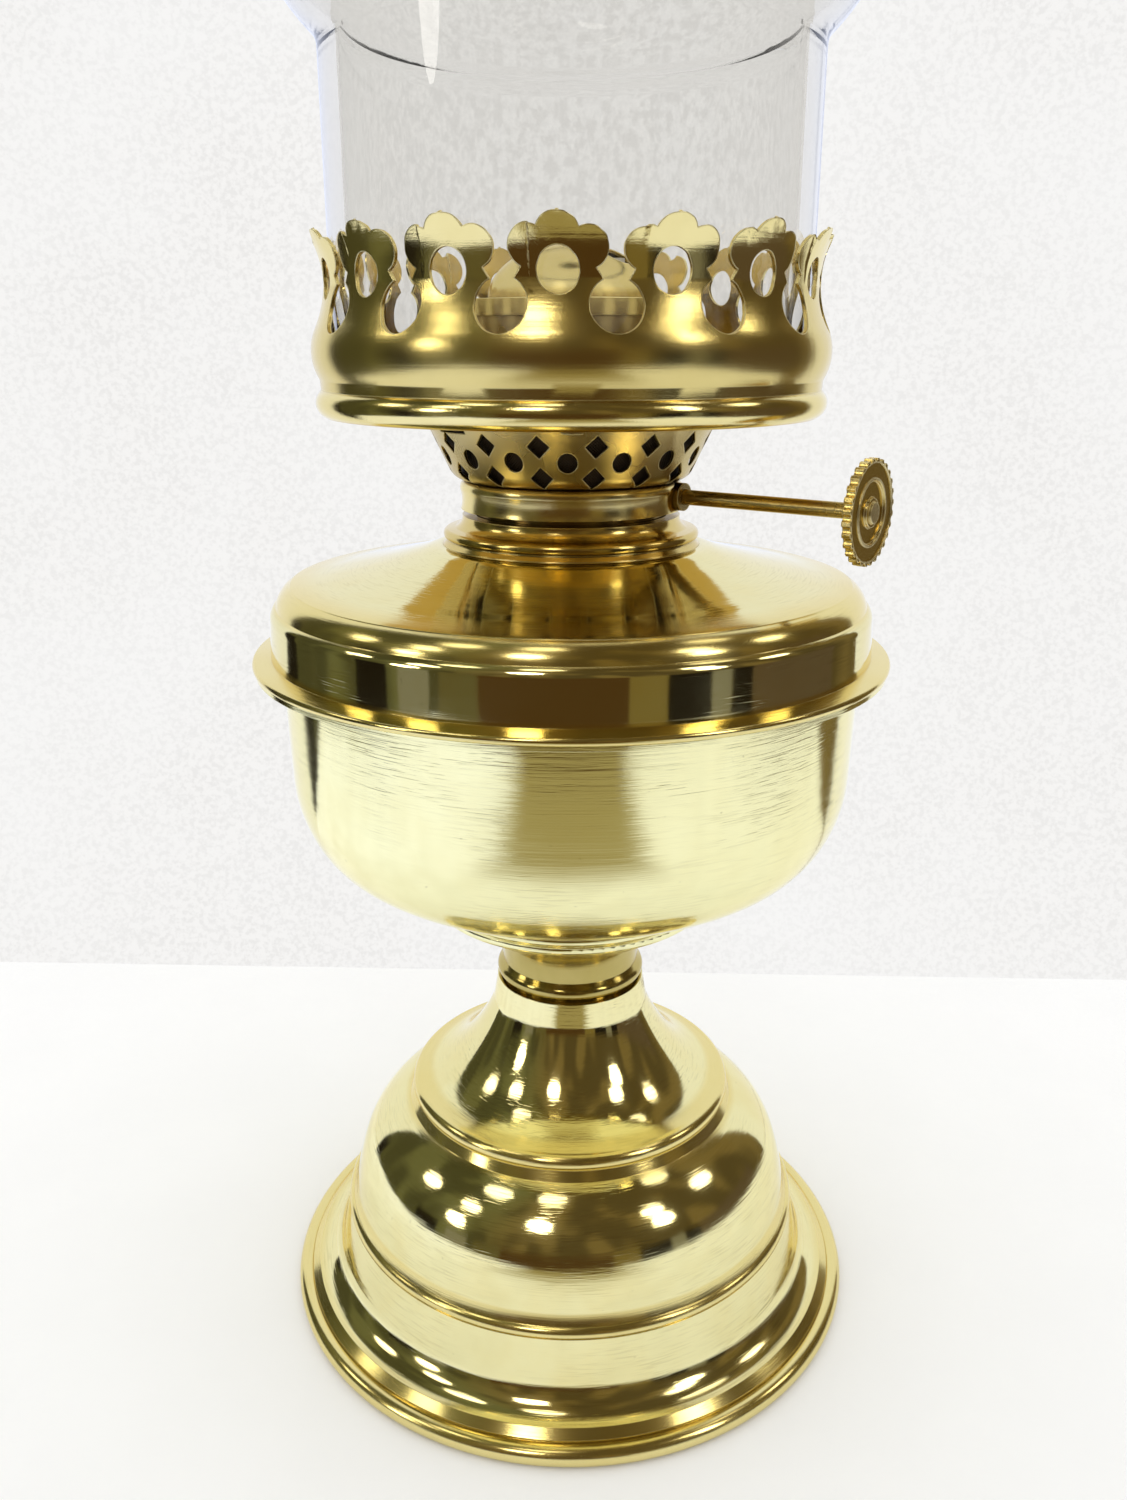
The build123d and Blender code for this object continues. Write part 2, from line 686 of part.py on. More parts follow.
with BuildPart() as gallery:
    with BuildSketch(Plane.XZ) as gallery_section:
        with BuildLine():
            floor_edge = (gallery_bead_radius, gallery_level)
            bead_edge = gallery_bead_radius + gallery_bead_lean
            bead_end = (bead_edge, gallery_level + gallery_bead_height)
            belly_foot = (grip_radius + groove_step, gallery_level + groove_height)
            belly_top = (grip_radius + belly_top_step, gallery_level + belly_top_height)
            grip = (grip_radius, gallery_level + grip_height)
            Line((gallery_floor_bore, gallery_level), floor_edge)
            SagittaArc(floor_edge, bead_end, -gallery_bead_swell)
            Line(bead_end, belly_foot)
            SagittaArc(belly_foot, belly_top, -belly_swell)
            SagittaArc(belly_top, grip, grip_swell)
            SagittaArc(grip, (grip_radius + tip_step, crown_top), tip_dip)
            offset(amount=gallery_sheet, side=Side.LEFT)
        make_face()
    revolve(axis=Axis.Z)
    with PolarLocations(0, prong_count, start_angle=prong_turn + 180.0 / prong_count):
        add(gap_cutter.part, mode=Mode.SUBTRACT)
    with BuildSketch(Plane.XZ.offset(grip_radius / 2)) as prong_hole:
        with Locations((0, gallery_level + prong_hole_height)):
            Ellipse(prong_hole_half_width, prong_hole_half_height)
    hole_cutter = extrude(amount=grip_radius, mode=Mode.PRIVATE)
    with PolarLocations(0, prong_count, start_angle=prong_turn):
        add(hole_cutter, mode=Mode.SUBTRACT)
    with BuildSketch(Plane.XY.offset(gallery_level - gallery_sheet)):
        with PolarLocations(rivet_ring_radius, rivet_count):
            Circle(rivet_radius + running_fit)
    extrude(amount=3 * gallery_sheet, mode=Mode.SUBTRACT)
gallery.part.label = "gallery"
export_step(gallery.part, "parts/gallery.step")

# ================================================================ deck
# Dished plate in the gallery: flat and pierced in the middle, raised rim under the glass.
with BuildPart() as deck:
    with BuildSketch(Plane.XZ) as deck_section:
        with BuildLine():
            Polyline(
                (deck_bore, deck_level),
                (deck_flat_radius, deck_level),
                (deck_rim_foot_radius, deck_level + deck_rim_height),
                (deck_rim_radius, deck_level + deck_rim_height),
            )
            offset(amount=gallery_sheet, side=Side.LEFT, kind=Kind.INTERSECTION)
        make_face()
    revolve(axis=Axis.Z)
    with BuildSketch(Plane.XY.offset(deck_level - gallery_sheet)):
        with PolarLocations(deck_hole_ring_radius, deck_hole_count):
            Circle(deck_hole_radius)
        with PolarLocations(rivet_ring_radius, rivet_count):
            Circle(rivet_radius + running_fit)
    extrude(amount=3 * gallery_sheet, mode=Mode.SUBTRACT)
deck.part.label = "deck"
export_step(deck.part, "parts/deck.step")

# ================================================================ gallery rivets
with BuildPart() as gallery_rivets:
    rivet_low = gallery_level - basket_flange_sheet
    with BuildSketch(Plane.XY.offset(rivet_low - rivet_head_height)):
        with PolarLocations(rivet_ring_radius, rivet_count):
            Circle(rivet_head_radius)
    extrude(amount=rivet_head_height)
    with BuildSketch(Plane.XY.offset(rivet_low)):
        with PolarLocations(rivet_ring_radius, rivet_count):
            Circle(rivet_radius)
    extrude(amount=deck_top - rivet_low)
    with BuildSketch(Plane.XY.offset(deck_top)):
        with PolarLocations(rivet_ring_radius, rivet_count):
            Circle(rivet_head_radius)
    extrude(amount=rivet_head_height)
gallery_rivets.part.label = "gallery_rivets"
export_step(gallery_rivets.part, "parts/gallery_rivets.step")

# ================================================================ draft drum
# Upright tube under the dome, on a flange; slots round its foot let the air in.
with BuildPart() as draft_drum:
    with BuildSketch(Plane.XY.offset(deck_top)):
        Circle(drum_flange_radius)
        Circle(drum_radius - burner_sheet, mode=Mode.SUBTRACT)
    extrude(amount=burner_sheet)
    with BuildSketch(Plane.XY.offset(deck_top)):
        Circle(drum_radius)
        Circle(drum_radius - burner_sheet, mode=Mode.SUBTRACT)
    extrude(amount=drum_height)
    with BuildSketch(Plane.XZ):
        with Locations((0, deck_top + drum_slot_rise)):
            SlotOverall(drum_slot_height, drum_slot_width, rotation=90)
    drum_slot = extrude(amount=2 * drum_radius, mode=Mode.PRIVATE)
    with PolarLocations(0, drum_slots):
        add(drum_slot, mode=Mode.SUBTRACT)
draft_drum.part.label = "draft_drum"
export_step(draft_drum.part, "parts/draft_drum.step")

# ================================================================ flame dome
# Cap over the drum: skirt, ledge, flattened dome and the slot that the flame burns in.
with BuildPart() as flame_dome:
    with BuildSketch(Plane.XZ) as dome_section:
        with BuildLine():
            skirt_radius = drum_radius + joint_gap
            ledge_radius = skirt_radius + burner_sheet
            ledge_top = dome_base
            dome_under = dome_radius - burner_sheet
            Polyline(
                (dome_under, drum_top),
                (skirt_radius, drum_top),
                (skirt_radius, drum_top - dome_skirt),
                (ledge_radius, drum_top - dome_skirt),
                (ledge_radius, ledge_top),
                (dome_radius, ledge_top),
            )
            outer = EllipticalCenterArc((0, ledge_top), dome_radius, dome_rise, arc_size=90)
            inner = EllipticalCenterArc((0, drum_top), dome_under, dome_rise, arc_size=90)
            Line(outer @ 1, inner @ 1)
        make_face()
    revolve(axis=Axis.Z)
    with BuildSketch(burner_plane.offset(dome_base + slot_rise)):
        SlotOverall(wick_width + 2 * slot_end_play, wick_thickness + 2 * slot_side_play)
    extrude(amount=2 * dome_rise, mode=Mode.SUBTRACT)
flame_dome.part.label = "flame_dome"
export_step(flame_dome.part, "parts/flame_dome.step")

# ================================================================ wick tube
# Flat tube through the burner floor, with two windows for the spur wheels.
with BuildPart() as wick_tube:
    with BuildSketch(burner_plane.offset(tube_bottom)):
        Rectangle(tube_outer_width, tube_outer_gap)
        Rectangle(tube_width, tube_gap, mode=Mode.SUBTRACT)
    extrude(amount=tube_top - tube_bottom)
    with BuildSketch(burner_plane.offset(spindle_level - spur_wheel_tip)):
        with Locations((-spur_wheel_spread, tube_gap), (spur_wheel_spread, tube_gap)):
            Rectangle(spur_wheel_width + 2 * joint_gap, tube_gap)
    extrude(amount=2 * spur_wheel_tip, mode=Mode.SUBTRACT)
wick_tube.part.label = "wick_tube"
export_step(wick_tube.part, "parts/wick_tube.step")

# ================================================================ wick
with BuildPart() as wick:
    with BuildSketch(burner_plane.offset(wick_top - wick_length)):
        RectangleRounded(wick_width, wick_thickness, wick_thickness / 3)
    extrude(amount=wick_length)
wick.part.label = "wick"
export_step(wick.part, "parts/wick.step")

# ================================================================ spindle cage
# Folded bracket on the tube's side: two cheeks carry the spindle, a back plate joins them.
with BuildPart() as spindle_cage:
    with BuildSketch(burner_plane.offset(floor_level + floor_sheet)):
        for side in (-1, 1):
            with Locations((side * cheek_spread, cage_near + cheek_depth / 2)):
                Rectangle(cheek_sheet, cheek_depth)
        with Locations((0, cage_near + cheek_depth - cheek_sheet / 2)):
            Rectangle(2 * cheek_spread, cheek_sheet)
    extrude(amount=cheek_tall)
    with BuildSketch(spindle_plane.offset(-spindle_inner_end)):
        Circle(spindle_radius + running_fit)
    extrude(amount=2 * spindle_inner_end, mode=Mode.SUBTRACT)
spindle_cage.part.label = "spindle_cage"
export_step(spindle_cage.part, "parts/spindle_cage.step")

# ================================================================ vent tube
# Lets air into the tank as the oil is burnt; it ends inside the drum.
with BuildPart() as vent_tube:
    with BuildSketch(burner_plane.offset(floor_level)):
        with Locations((0, -vent_offset)):
            Circle(vent_radius)
            Circle(vent_radius - vent_wall, mode=Mode.SUBTRACT)
    extrude(amount=vent_height)
vent_tube.part.label = "vent_tube"
export_step(vent_tube.part, "parts/vent_tube.step")

# ================================================================ spindle bush
with BuildPart() as spindle_bush:
    with BuildSketch(spindle_plane.offset(bush_inner_reach)):
        Circle(bush_radius)
        Circle(spindle_radius + running_fit, mode=Mode.SUBTRACT)
    extrude(amount=bush_outer_reach - bush_inner_reach)
spindle_bush.part.label = "spindle_bush"
export_step(spindle_bush.part, "parts/spindle_bush.step")

# ================================================================ spindle
# Long round shaft, its outer end riveted over the thumbwheel's face.
with BuildPart() as spindle:
    with BuildSketch(spindle_plane.offset(-spindle_inner_end)):
        Circle(spindle_radius)
    extrude(amount=spindle_inner_end + spindle_reach)
    with BuildSketch(spindle_plane.offset(spindle_reach)):
        Circle(spindle_radius + rivet_end_width)
    extrude(amount=rivet_end_height, taper=rivet_end_taper)
spindle.part.label = "spindle"
export_step(spindle.part, "parts/spindle.step")

with BuildPart() as spindle_clip:
    clip_near = cheek_spread + cheek_sheet / 2 + running_fit
    with BuildSketch(spindle_plane.offset(-clip_near - clip_length)):
        Circle(spindle_radius + clip_width)
        Circle(spindle_radius, mode=Mode.SUBTRACT)
    extrude(amount=clip_length)
spindle_clip.part.label = "spindle_clip"
export_step(spindle_clip.part, "parts/spindle_clip.step")

# ================================================================ spur wheels
# Two small toothed wheels on the spindle; their points drive the wick up and down.
with BuildPart() as spur_wheels:
    tooth_half = pi * spur_wheel_root / spur_wheel_teeth * spur_tooth_share
    tooth_foot = spur_wheel_root - spur_tooth_root
    for side in (-1, 1):
        with BuildSketch(spindle_plane.offset(side * spur_wheel_spread - spur_wheel_width / 2)):
            Circle(spur_wheel_root)
            with PolarLocations(0, spur_wheel_teeth):
                Polygon(
                    (tooth_foot, -tooth_half),
                    (spur_wheel_tip, 0),
                    (tooth_foot, tooth_half),
                    align=None,
                )
            Circle(spindle_radius, mode=Mode.SUBTRACT)
        extrude(amount=spur_wheel_width)
spur_wheels.part.label = "spur_wheels"
export_step(spur_wheels.part, "parts/spur_wheels.step")

# ================================================================ thumbwheel
# Pressed disc with a scalloped edge, a rim and a dished ring on its outer face.
with BuildPart() as thumbwheel:
    wheel_inner = spindle_reach - thumbwheel_width
    with BuildSketch(spindle_plane.offset(wheel_inner)):
        Circle(thumbwheel_radius)
        with PolarLocations(thumbwheel_radius + scallop_out, scallop_count):
            Circle(scallop_radius, mode=Mode.SUBTRACT)
        Circle(spindle_radius, mode=Mode.SUBTRACT)
    extrude(amount=thumbwheel_width)
    face_inner = spindle_radius + face_hub_width
    face_middle = face_inner + face_dish_width
    face_edge = face_middle + face_ridge_width
    with BuildSketch(spindle_plane.offset(spindle_reach - face_step_depth)):
        Circle(thumbwheel_radius - face_rim)
        Circle(face_edge, mode=Mode.SUBTRACT)
    extrude(amount=face_step_depth, mode=Mode.SUBTRACT)
    with BuildSketch(spindle_plane.offset(spindle_reach - face_dish_depth)):
        Circle(face_middle)
        Circle(face_inner, mode=Mode.SUBTRACT)
    extrude(amount=face_dish_depth, taper=face_dish_taper, mode=Mode.SUBTRACT)
thumbwheel.part.label = "thumbwheel"
export_step(thumbwheel.part, "parts/thumbwheel.step")

# ================================================================ chimney
# Straight fitter, short flare, bulb, long taper and straight flue, open at both ends.
with BuildPart() as chimney:
    with BuildSketch(Plane.XZ) as chimney_section:
        with BuildLine():
            fitter_top = (glass_radius, chimney_level + fitter_height)
            flare = (glass_radius + glass_flare, chimney_level + glass_flare_height)
            bulb = (bulb_radius, chimney_level + bulb_height)
            bulb_top = (bulb_radius - bulb_top_inset, chimney_level + bulb_top_height)
            waist = (bulb_radius - waist_inset, chimney_level + waist_height)
            flue_foot = (flue_radius, chimney_level + flue_height)
            Line((glass_radius, chimney_level), fitter_top)
            flare_arc = TangentArc(fitter_top, flare, tangent=(0, 1))
            TangentArc(flare, bulb, tangent=flare_arc % 1)
            TangentArc(bulb, bulb_top, tangent=(0, 1))
            taper = Line(bulb_top, waist)
            TangentArc(waist, flue_foot, tangent=taper % 1)
            Line(flue_foot, (flue_radius, chimney_level + chimney_height))
            offset(amount=glass_wall, side=Side.LEFT)
        make_face()
    revolve(axis=Axis.Z)
chimney.part.label = "chimney"
export_step(chimney.part, "parts/chimney.step")
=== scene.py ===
from math import atan2, cos, hypot, pi, radians, sin, tan

import bmesh
import bpy
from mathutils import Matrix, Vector, noise


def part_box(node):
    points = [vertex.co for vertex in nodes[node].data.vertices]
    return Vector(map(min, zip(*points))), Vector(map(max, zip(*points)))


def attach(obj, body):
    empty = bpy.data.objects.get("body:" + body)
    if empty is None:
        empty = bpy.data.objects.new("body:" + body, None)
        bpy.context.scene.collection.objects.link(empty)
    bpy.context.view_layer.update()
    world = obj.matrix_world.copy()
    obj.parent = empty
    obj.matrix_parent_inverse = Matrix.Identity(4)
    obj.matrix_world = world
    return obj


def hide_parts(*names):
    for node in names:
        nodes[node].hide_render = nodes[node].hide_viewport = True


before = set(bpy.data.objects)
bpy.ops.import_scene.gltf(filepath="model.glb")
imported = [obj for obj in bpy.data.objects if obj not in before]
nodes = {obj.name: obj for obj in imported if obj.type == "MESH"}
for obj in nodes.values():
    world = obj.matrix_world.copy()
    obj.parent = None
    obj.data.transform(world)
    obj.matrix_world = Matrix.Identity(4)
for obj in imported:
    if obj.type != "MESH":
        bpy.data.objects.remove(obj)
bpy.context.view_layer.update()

# Looks of a brass table oil lamp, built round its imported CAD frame. Metres, +Z up, the lamp's
# axis is the Z axis and its front faces -Y. A turn is an angle round that axis from the front.

MM = 0.001

# A noise is its scale, detail and roughness. A range is two values of what it is measured on:
# at the first a mask is 0, at the second it is 1.
PLAIN_RANGE = (0.3, 0.7)

# ---------------------------------------------------------------- camera
CAMERA_PLACE = (-1.25 * MM, -209.72 * MM, 176.12 * MM)
CAMERA_TILT = radians(18.45)
CAMERA_LENS = 30
CAMERA_SENSOR = 36
CAMERA_NEAR = 10 * MM

# ---------------------------------------------------------------- table and panel
TABLE_FRONT = -0.385
TABLE_BACK = 0.115
TABLE_SIDE = 0.420
TABLE_SKEW = radians(-1.9)          # the back edge isn't quite square to the camera
TABLE_COLOUR = (1.0, 1.0, 0.995)
TABLE_NOISE = (30.0, 3.0, 0.6)
TABLE_UNEVEN = 0.985                # its darker clouds
FOAM_CELLS = 420.0                  # fineness of the foam board's skin
FOAM_BUMP = 0.25
FOAM_DEEP = 0.15 * MM
PANEL_HALF = 0.215                  # white panel behind the lamp, as its metal shows it
PANEL_HEIGHT = 0.90
PANEL_GLOW = 0.93
MIRROR_WHITE = (1.02, 1.09, 1.32)   # white board as the metal shows it: painted light, brighter and cooler than the table is lit
MIRROR_BRIGHT = (1.12, 1.23, 1.66)  # its left half, with more painted light
MIRROR_DULL = (0.90, 0.96, 1.12)    # and its duller clouds
MIRROR_RANGE = (0.35, 0.7)
MIRROR_UNEVEN = 0.6
BRIGHT_RANGE = (-0.02, -0.22)       # x, towards the left
SHADE_HALF = 0.115                  # painted shadow of the viewer: a dim patch of table before the lamp, as its metal shows it
SHADE_EDGE = 0.018
SHADE_RANGE = (-0.10, -0.25)        # y, towards the viewer
SHADE_COLOUR = (0.36, 0.32, 0.18)

# ---------------------------------------------------------------- wall and soft light
WALL_COLOUR = (0.92, 0.91, 0.895)
WALL_LIGHT = (0.95, 0.95, 0.945)    # its lighter clouds
WALL_NOISE = (5.0, 3.0, 0.6)
WALL_UNEVEN = 0.5
BEAD_NOISE = (260.0, 2.0, 0.6)      # beads of its pressed foam
BEAD_RANGE = (0.40, 0.66)
BEAD_GAP = 0.91                     # how dark the gaps between them are
MOTTLE_NOISE = (110.0, 3.0, 0.65)   # coarser mottle of the wall seen through glass
MOTTLE_RANGE = (0.42, 0.62)
MOTTLE_DARK = 0.88
SOFT_LIGHT = (1.03, 1.03, 1.03)

# ---------------------------------------------------------------- room and lamps seen by the metal
ROOM = (0.190, 0.145, 0.066)
ROOM_DARK = (0.014, 0.011, 0.008)
ROOM_BROWN = (0.079, 0.045, 0.017)
ROOM_OLIVE = (0.120, 0.108, 0.053)
ROOM_GOLD = (0.19, 0.15, 0.057)
ROOM_GREY = (0.22, 0.22, 0.205)
ROOM_GREEN = (0.142, 0.147, 0.077)
ROOM_SHELVES = (0.106, 0.079, 0.057)
ROOM_STRIPS = (                     # first and last turn in degrees, and colour
    (-132.0, -120.0, ROOM_DARK),
    (-83.0, -69.0, ROOM_DARK),
    (-64.0, -52.0, ROOM_GREY),
    (-48.0, -33.0, ROOM_OLIVE),
    (-33.0, 20.5, ROOM_BROWN),
    (20.5, 34.0, ROOM_GOLD),
    (34.0, 50.0, ROOM_DARK),
    (50.0, 58.0, ROOM_GREY),
    (58.0, 67.5, ROOM_DARK),
    (67.5, 110.0, ROOM_SHELVES),
)
STRIP_EDGE = 0.7                    # degrees over which one strip meets the next
CEILING_RANGE = (5.0, 13.0)         # degrees above the horizon, from the strips to the ceiling
GREEN_RANGE = (-20.0, -60.0)        # turn in degrees: the ceiling is greener on the left
MURK_NOISE = (3.6, 1.0, 0.5)        # dark shapes under the ceiling
MURK_TALL = 0.12                    # they hang: their height is drawn out
MURK_RANGE = (0.42, 0.60)
MURK_DARK = 0.55
LAMP_FAR = 1.6
LAMP_SIZE = 0.30
LAMP_POWER = 2.1
LAMP_COLOUR = (1.0, 0.97, 0.90)
LAMP_AIMS = (                       # turn, height in degrees and strength of each ceiling lamp
    (-90, 34, 0.4),
    (-62, 22, 0.8),
    (-62, 41, 0.4),
    (-64, 61, 0.3),
    (-19, 44, 1.0),
    (-20, 70, 0.3),
    (53, 33, 0.8),
    (53, 44, 0.5),
    (90, 39, 0.4),
    (90, 62, 0.2),
)

# ---------------------------------------------------------------- spun pieces
SEAM_HALF = 1e-7                    # CAD points this near to the seam's half plane lie on it
SEAM_GRID = 1e-7
SPIN_PARTS = 272
SPLIT_LENGTH = 0.4 * MM             # longer steps of an outline are split where it curves
SPLIT_PARTS = 3
STRAIGHT = 1e-4                     # bend in radians below which an outline runs straight
SHARP_BEND = radians(24)
BULGE_LOW = 19.8 * MM               # foot's bulge, above the table
BULGE_HIGH = 38.4 * MM
BULGE_PRESS = 0.25 * MM
THROAT_LOW = 42.4 * MM              # foot's hollow throat
THROAT_HIGH = 58.0 * MM
THROAT_FILL = 0.7 * MM
WAIST_LOW = 3.0 * MM                # neck ring's waist, above its foot
WAIST_HIGH = 8.7 * MM
WAIST_FILL = 0.35 * MM
WAIST_INSIDE = 9.0 * MM
BAND_LOW = 1.6 * MM                 # shoulder's upright band, above the seam
BAND_HIGH = 8.1 * MM
BAND_LEAN = 0.26 * MM
BAND_INSIDE = 40 * MM

# ---------------------------------------------------------------- crown and gauze
CROWN_ROOT = 14.0 * MM              # height of the gallery below its prongs
CROWN_STEP = 0.6 * MM               # height between the cuts that let it bend
CROWN_WELD = 1e-7
PRONGS = 16
PRONG_SHIFT = 2.8 / 360 * PRONGS    # the crown's turn from the front, in prongs
PRONG_TIP = 0.62                    # share of a prong's height at which its tip begins
CROWN_LEAN = 0.5 * MM
CROWN_CURL = 0.6 * MM               # tips curl outwards, by this times the mean and a whim
CURL_MEAN = 0.8
CURL_POWER = 1.5
CROWN_DROP = 0.7 * MM
DROP_MEAN = 0.5
CROWN_SKEW = 0.5 * MM
CROWN_TILT = 0.10
WHIM_STEP = 1.7                     # steps through the noise from prong to prong and kind to kind
WHIM_KIND = 4.1
WHIM_START = 0.3
WHIM_SLICE = 2.2
RAGGED = 0.10 * MM
RAGGED_SCALE = 900.0
GAUZE_LOW = 4.3 * MM
GAUZE_FOOT = 17.6 * MM
GAUZE_TOP = 22.0 * MM
GAUZE_SHEET = 0.12 * MM
GAUZE_CLEAR = 4 * GAUZE_SHEET       # it ends this far below the basket's flange
GAUZE_WIRES = 260
GAUZE_PITCH = 0.45 * MM

# ---------------------------------------------------------------- brass
BRASS = (0.86, 0.76, 0.36)
GOLD_BRASS = (0.78, 0.60, 0.18)
# painted shade: a much darker brass on the neck ring, for the dim gold it reflects
NECK_SHADED_BRASS = (0.50, 0.39, 0.12)
NECK_SHADE = (0.42, 0.31, 0.07)
# painted light: the bowl's brass is made lighter, for the bright board it reflects
SATIN_LIT_BRASS = (0.93, 0.85, 0.43)
SATIN_SHADE = (0.86, 0.74, 0.32)
TANK_BRASS = (0.82, 0.735, 0.37)
# painted shade: darker brass on the collar and thumbwheel, for the dim surroundings they reflect
COLLAR_SHADED_BRASS = (0.66, 0.50, 0.17)
COLLAR_SHADE = (0.55, 0.38, 0.10)
RING_BRASS = (0.80, 0.65, 0.27)
CROWN_BRASS = (0.82, 0.685, 0.29)
CROWN_SHADE = (0.62, 0.47, 0.14)
BURNER_BRASS = (0.54, 0.42, 0.17)
BURNER_SHADE = (0.44, 0.30, 0.09)
# tarnish in the creases, and painted shade there where little light reaches
CREASE_TARNISH_AND_SHADE = (0.14, 0.075, 0.02)
EDGE_TINT = (1.0, 0.95, 0.80)       # brass stays golden when seen aslant
EDGE_WEAR_AND_HIGHLIGHT = (0.98, 0.88, 0.52)     # bright cut edges: wear and a painted highlight
WORN_ROUGH = 0.35                   # and how much duller they are
INNER_BRASS = (0.66, 0.47, 0.14)    # heat-browned sides that face the flame
UNDER_PAINTED_SHADE = (0.60, 0.40, 0.10)    # painted shade: brown gold on the sides that face down
UNDER_ROUGH = 0.38
INNER_RANGE = (-0.1, -0.5)          # how far a side faces outwards
UNDER_RANGE = (-0.80, -0.95)        # how far it faces up
RIM_RANGE = (0.985, 0.86)           # how well a side agrees with its rounded edge
ROLL_EDGE = 0.4 * MM
ROLL_ROUGH = 0.09                   # how much duller the rolled edges are
ROLL_REFLECTED_GOLD = 0.6                     # and how much deeper gold is painted on them, as a painted reflection
CLOUD_NOISE = (75.0, 4.0, 0.6)
CLOUD_RANGE = (0.35, 0.75)
CLOUD_SHARE = 0.3                   # share of the shade in the clouds' colour
SMEAR_NOISE = (22.0, 4.0, 0.65)     # smears in which the metal is duller
SMEAR_RANGE = (0.3, 0.75)
CREASE_REACH = 2.5 * MM             # tarnish and painted shade stay where a cloth can't reach and little light falls
CREASE_RANGE = (0.75, 0.2)          # share of the sky that a place sees
WAVE_NOISE = (38.0, 2.0, 0.5)
WAVE_DEEP = 1.2 * MM
LINE_PITCH = 0.35 * MM
LINE_NOISE = (1.0 / LINE_PITCH, 2.0, 0.6)
LINE_RUN = 1.0 * MM                 # noise passed in a radian: little, so the lines run round
LINE_DEEP = 0.02 * MM
COARSE_NOISE = (0.12 / LINE_PITCH, 3.0, 0.6)
COARSE_DEEP = 0.06 * MM
GRAIN_NOISE = (5200.0, 2.0, 0.6)
GRAIN_DEEP = 0.05 * MM
DASH_RUN = 2.2 * MM                 # scratches are shorter than the lines
DASH_NOISE = (3800.0, 1.0, 0.5)
DASH_RANGE = (0.50, 0.72)
DASH_DEEP = 0.03 * MM
DASH_DARK = 0.22
DASH_SHADE = 0.5
DASH_FADE = 0.05                    # radians over which they begin beside a clean front
PATCH_NOISE = (45.0, 3.0, 0.6)      # patches that hold them
PATCH_RANGE = (0.38, 0.62)
PIT_NOISE = (1300.0, 0.0, 0.5)
PIT_RANGE = (0.84, 0.88)
PIT_SHADE = 0.35
ACROSS_THE_LINES = 0.25             # quarter turn: brushed metal blurs across its lines
FOOT_RIM = (0.0, 5.0 * MM)          # rolled parts, duller and with a painted reflection of deeper gold, above the foot of their node
FOOT_STEP = (17.0 * MM, 20.5 * MM)
FOOT_THROAT = (38.0 * MM, 43.5 * MM)
TANK_LIP = (0.0, 2.2 * MM)
TANK_ROLL = (9.5 * MM, 13.5 * MM)
TANK_MOUTH = (19.0 * MM, 30.0 * MM)
CROWN_BELLY = (4.0 * MM, 19.0 * MM)

# ---------------------------------------------------------------- glass, steel, cotton and wire
GLASS_COLOUR = (0.90, 0.895, 0.88)
GLASS_SHADOW = (0.93, 0.935, 0.93)
GLASS_NOISE = (30.0, 1.0, 0.5)
GLASS_DRAWN = 0.35                  # its waves are drawn out upwards
GLASS_BUMP = 0.25
GLASS_DEEP = 0.35 * MM
STEEL_LIGHT = (0.50, 0.50, 0.49)
STEEL_DARK = (0.30, 0.28, 0.25)
STEEL_CLOUDS = (180.0, 3.0, 0.6)
STEEL_GRAIN = (2400.0, 3.0, 0.6)
STEEL_RANGE = (0.2, 0.8)
STEEL_ROUGH = (0.28, 0.5)
STEEL_DEEP = 0.03 * MM
COTTON_LIGHT = (0.80, 0.76, 0.66)
COTTON_DARK = (0.66, 0.60, 0.49)
COTTON_GRAIN = (1500.0, 3.0, 0.6)
COTTON_DEEP = 0.15 * MM
# near black: painted shade inside the basket
WIRE_DARK = (0.012, 0.008, 0.005)
WIRE_LIGHT = (0.10, 0.065, 0.03)
WIRE_RANGE = (-0.6, 0.6)
WIRE_ROUGH = (0.8, 0.5)
WIRE_DEEP = 0.08 * MM


def rgba(colour, share=1.0):
    """A colour for a socket, or a share of it."""
    return (*(share * c for c in colour), 1.0)


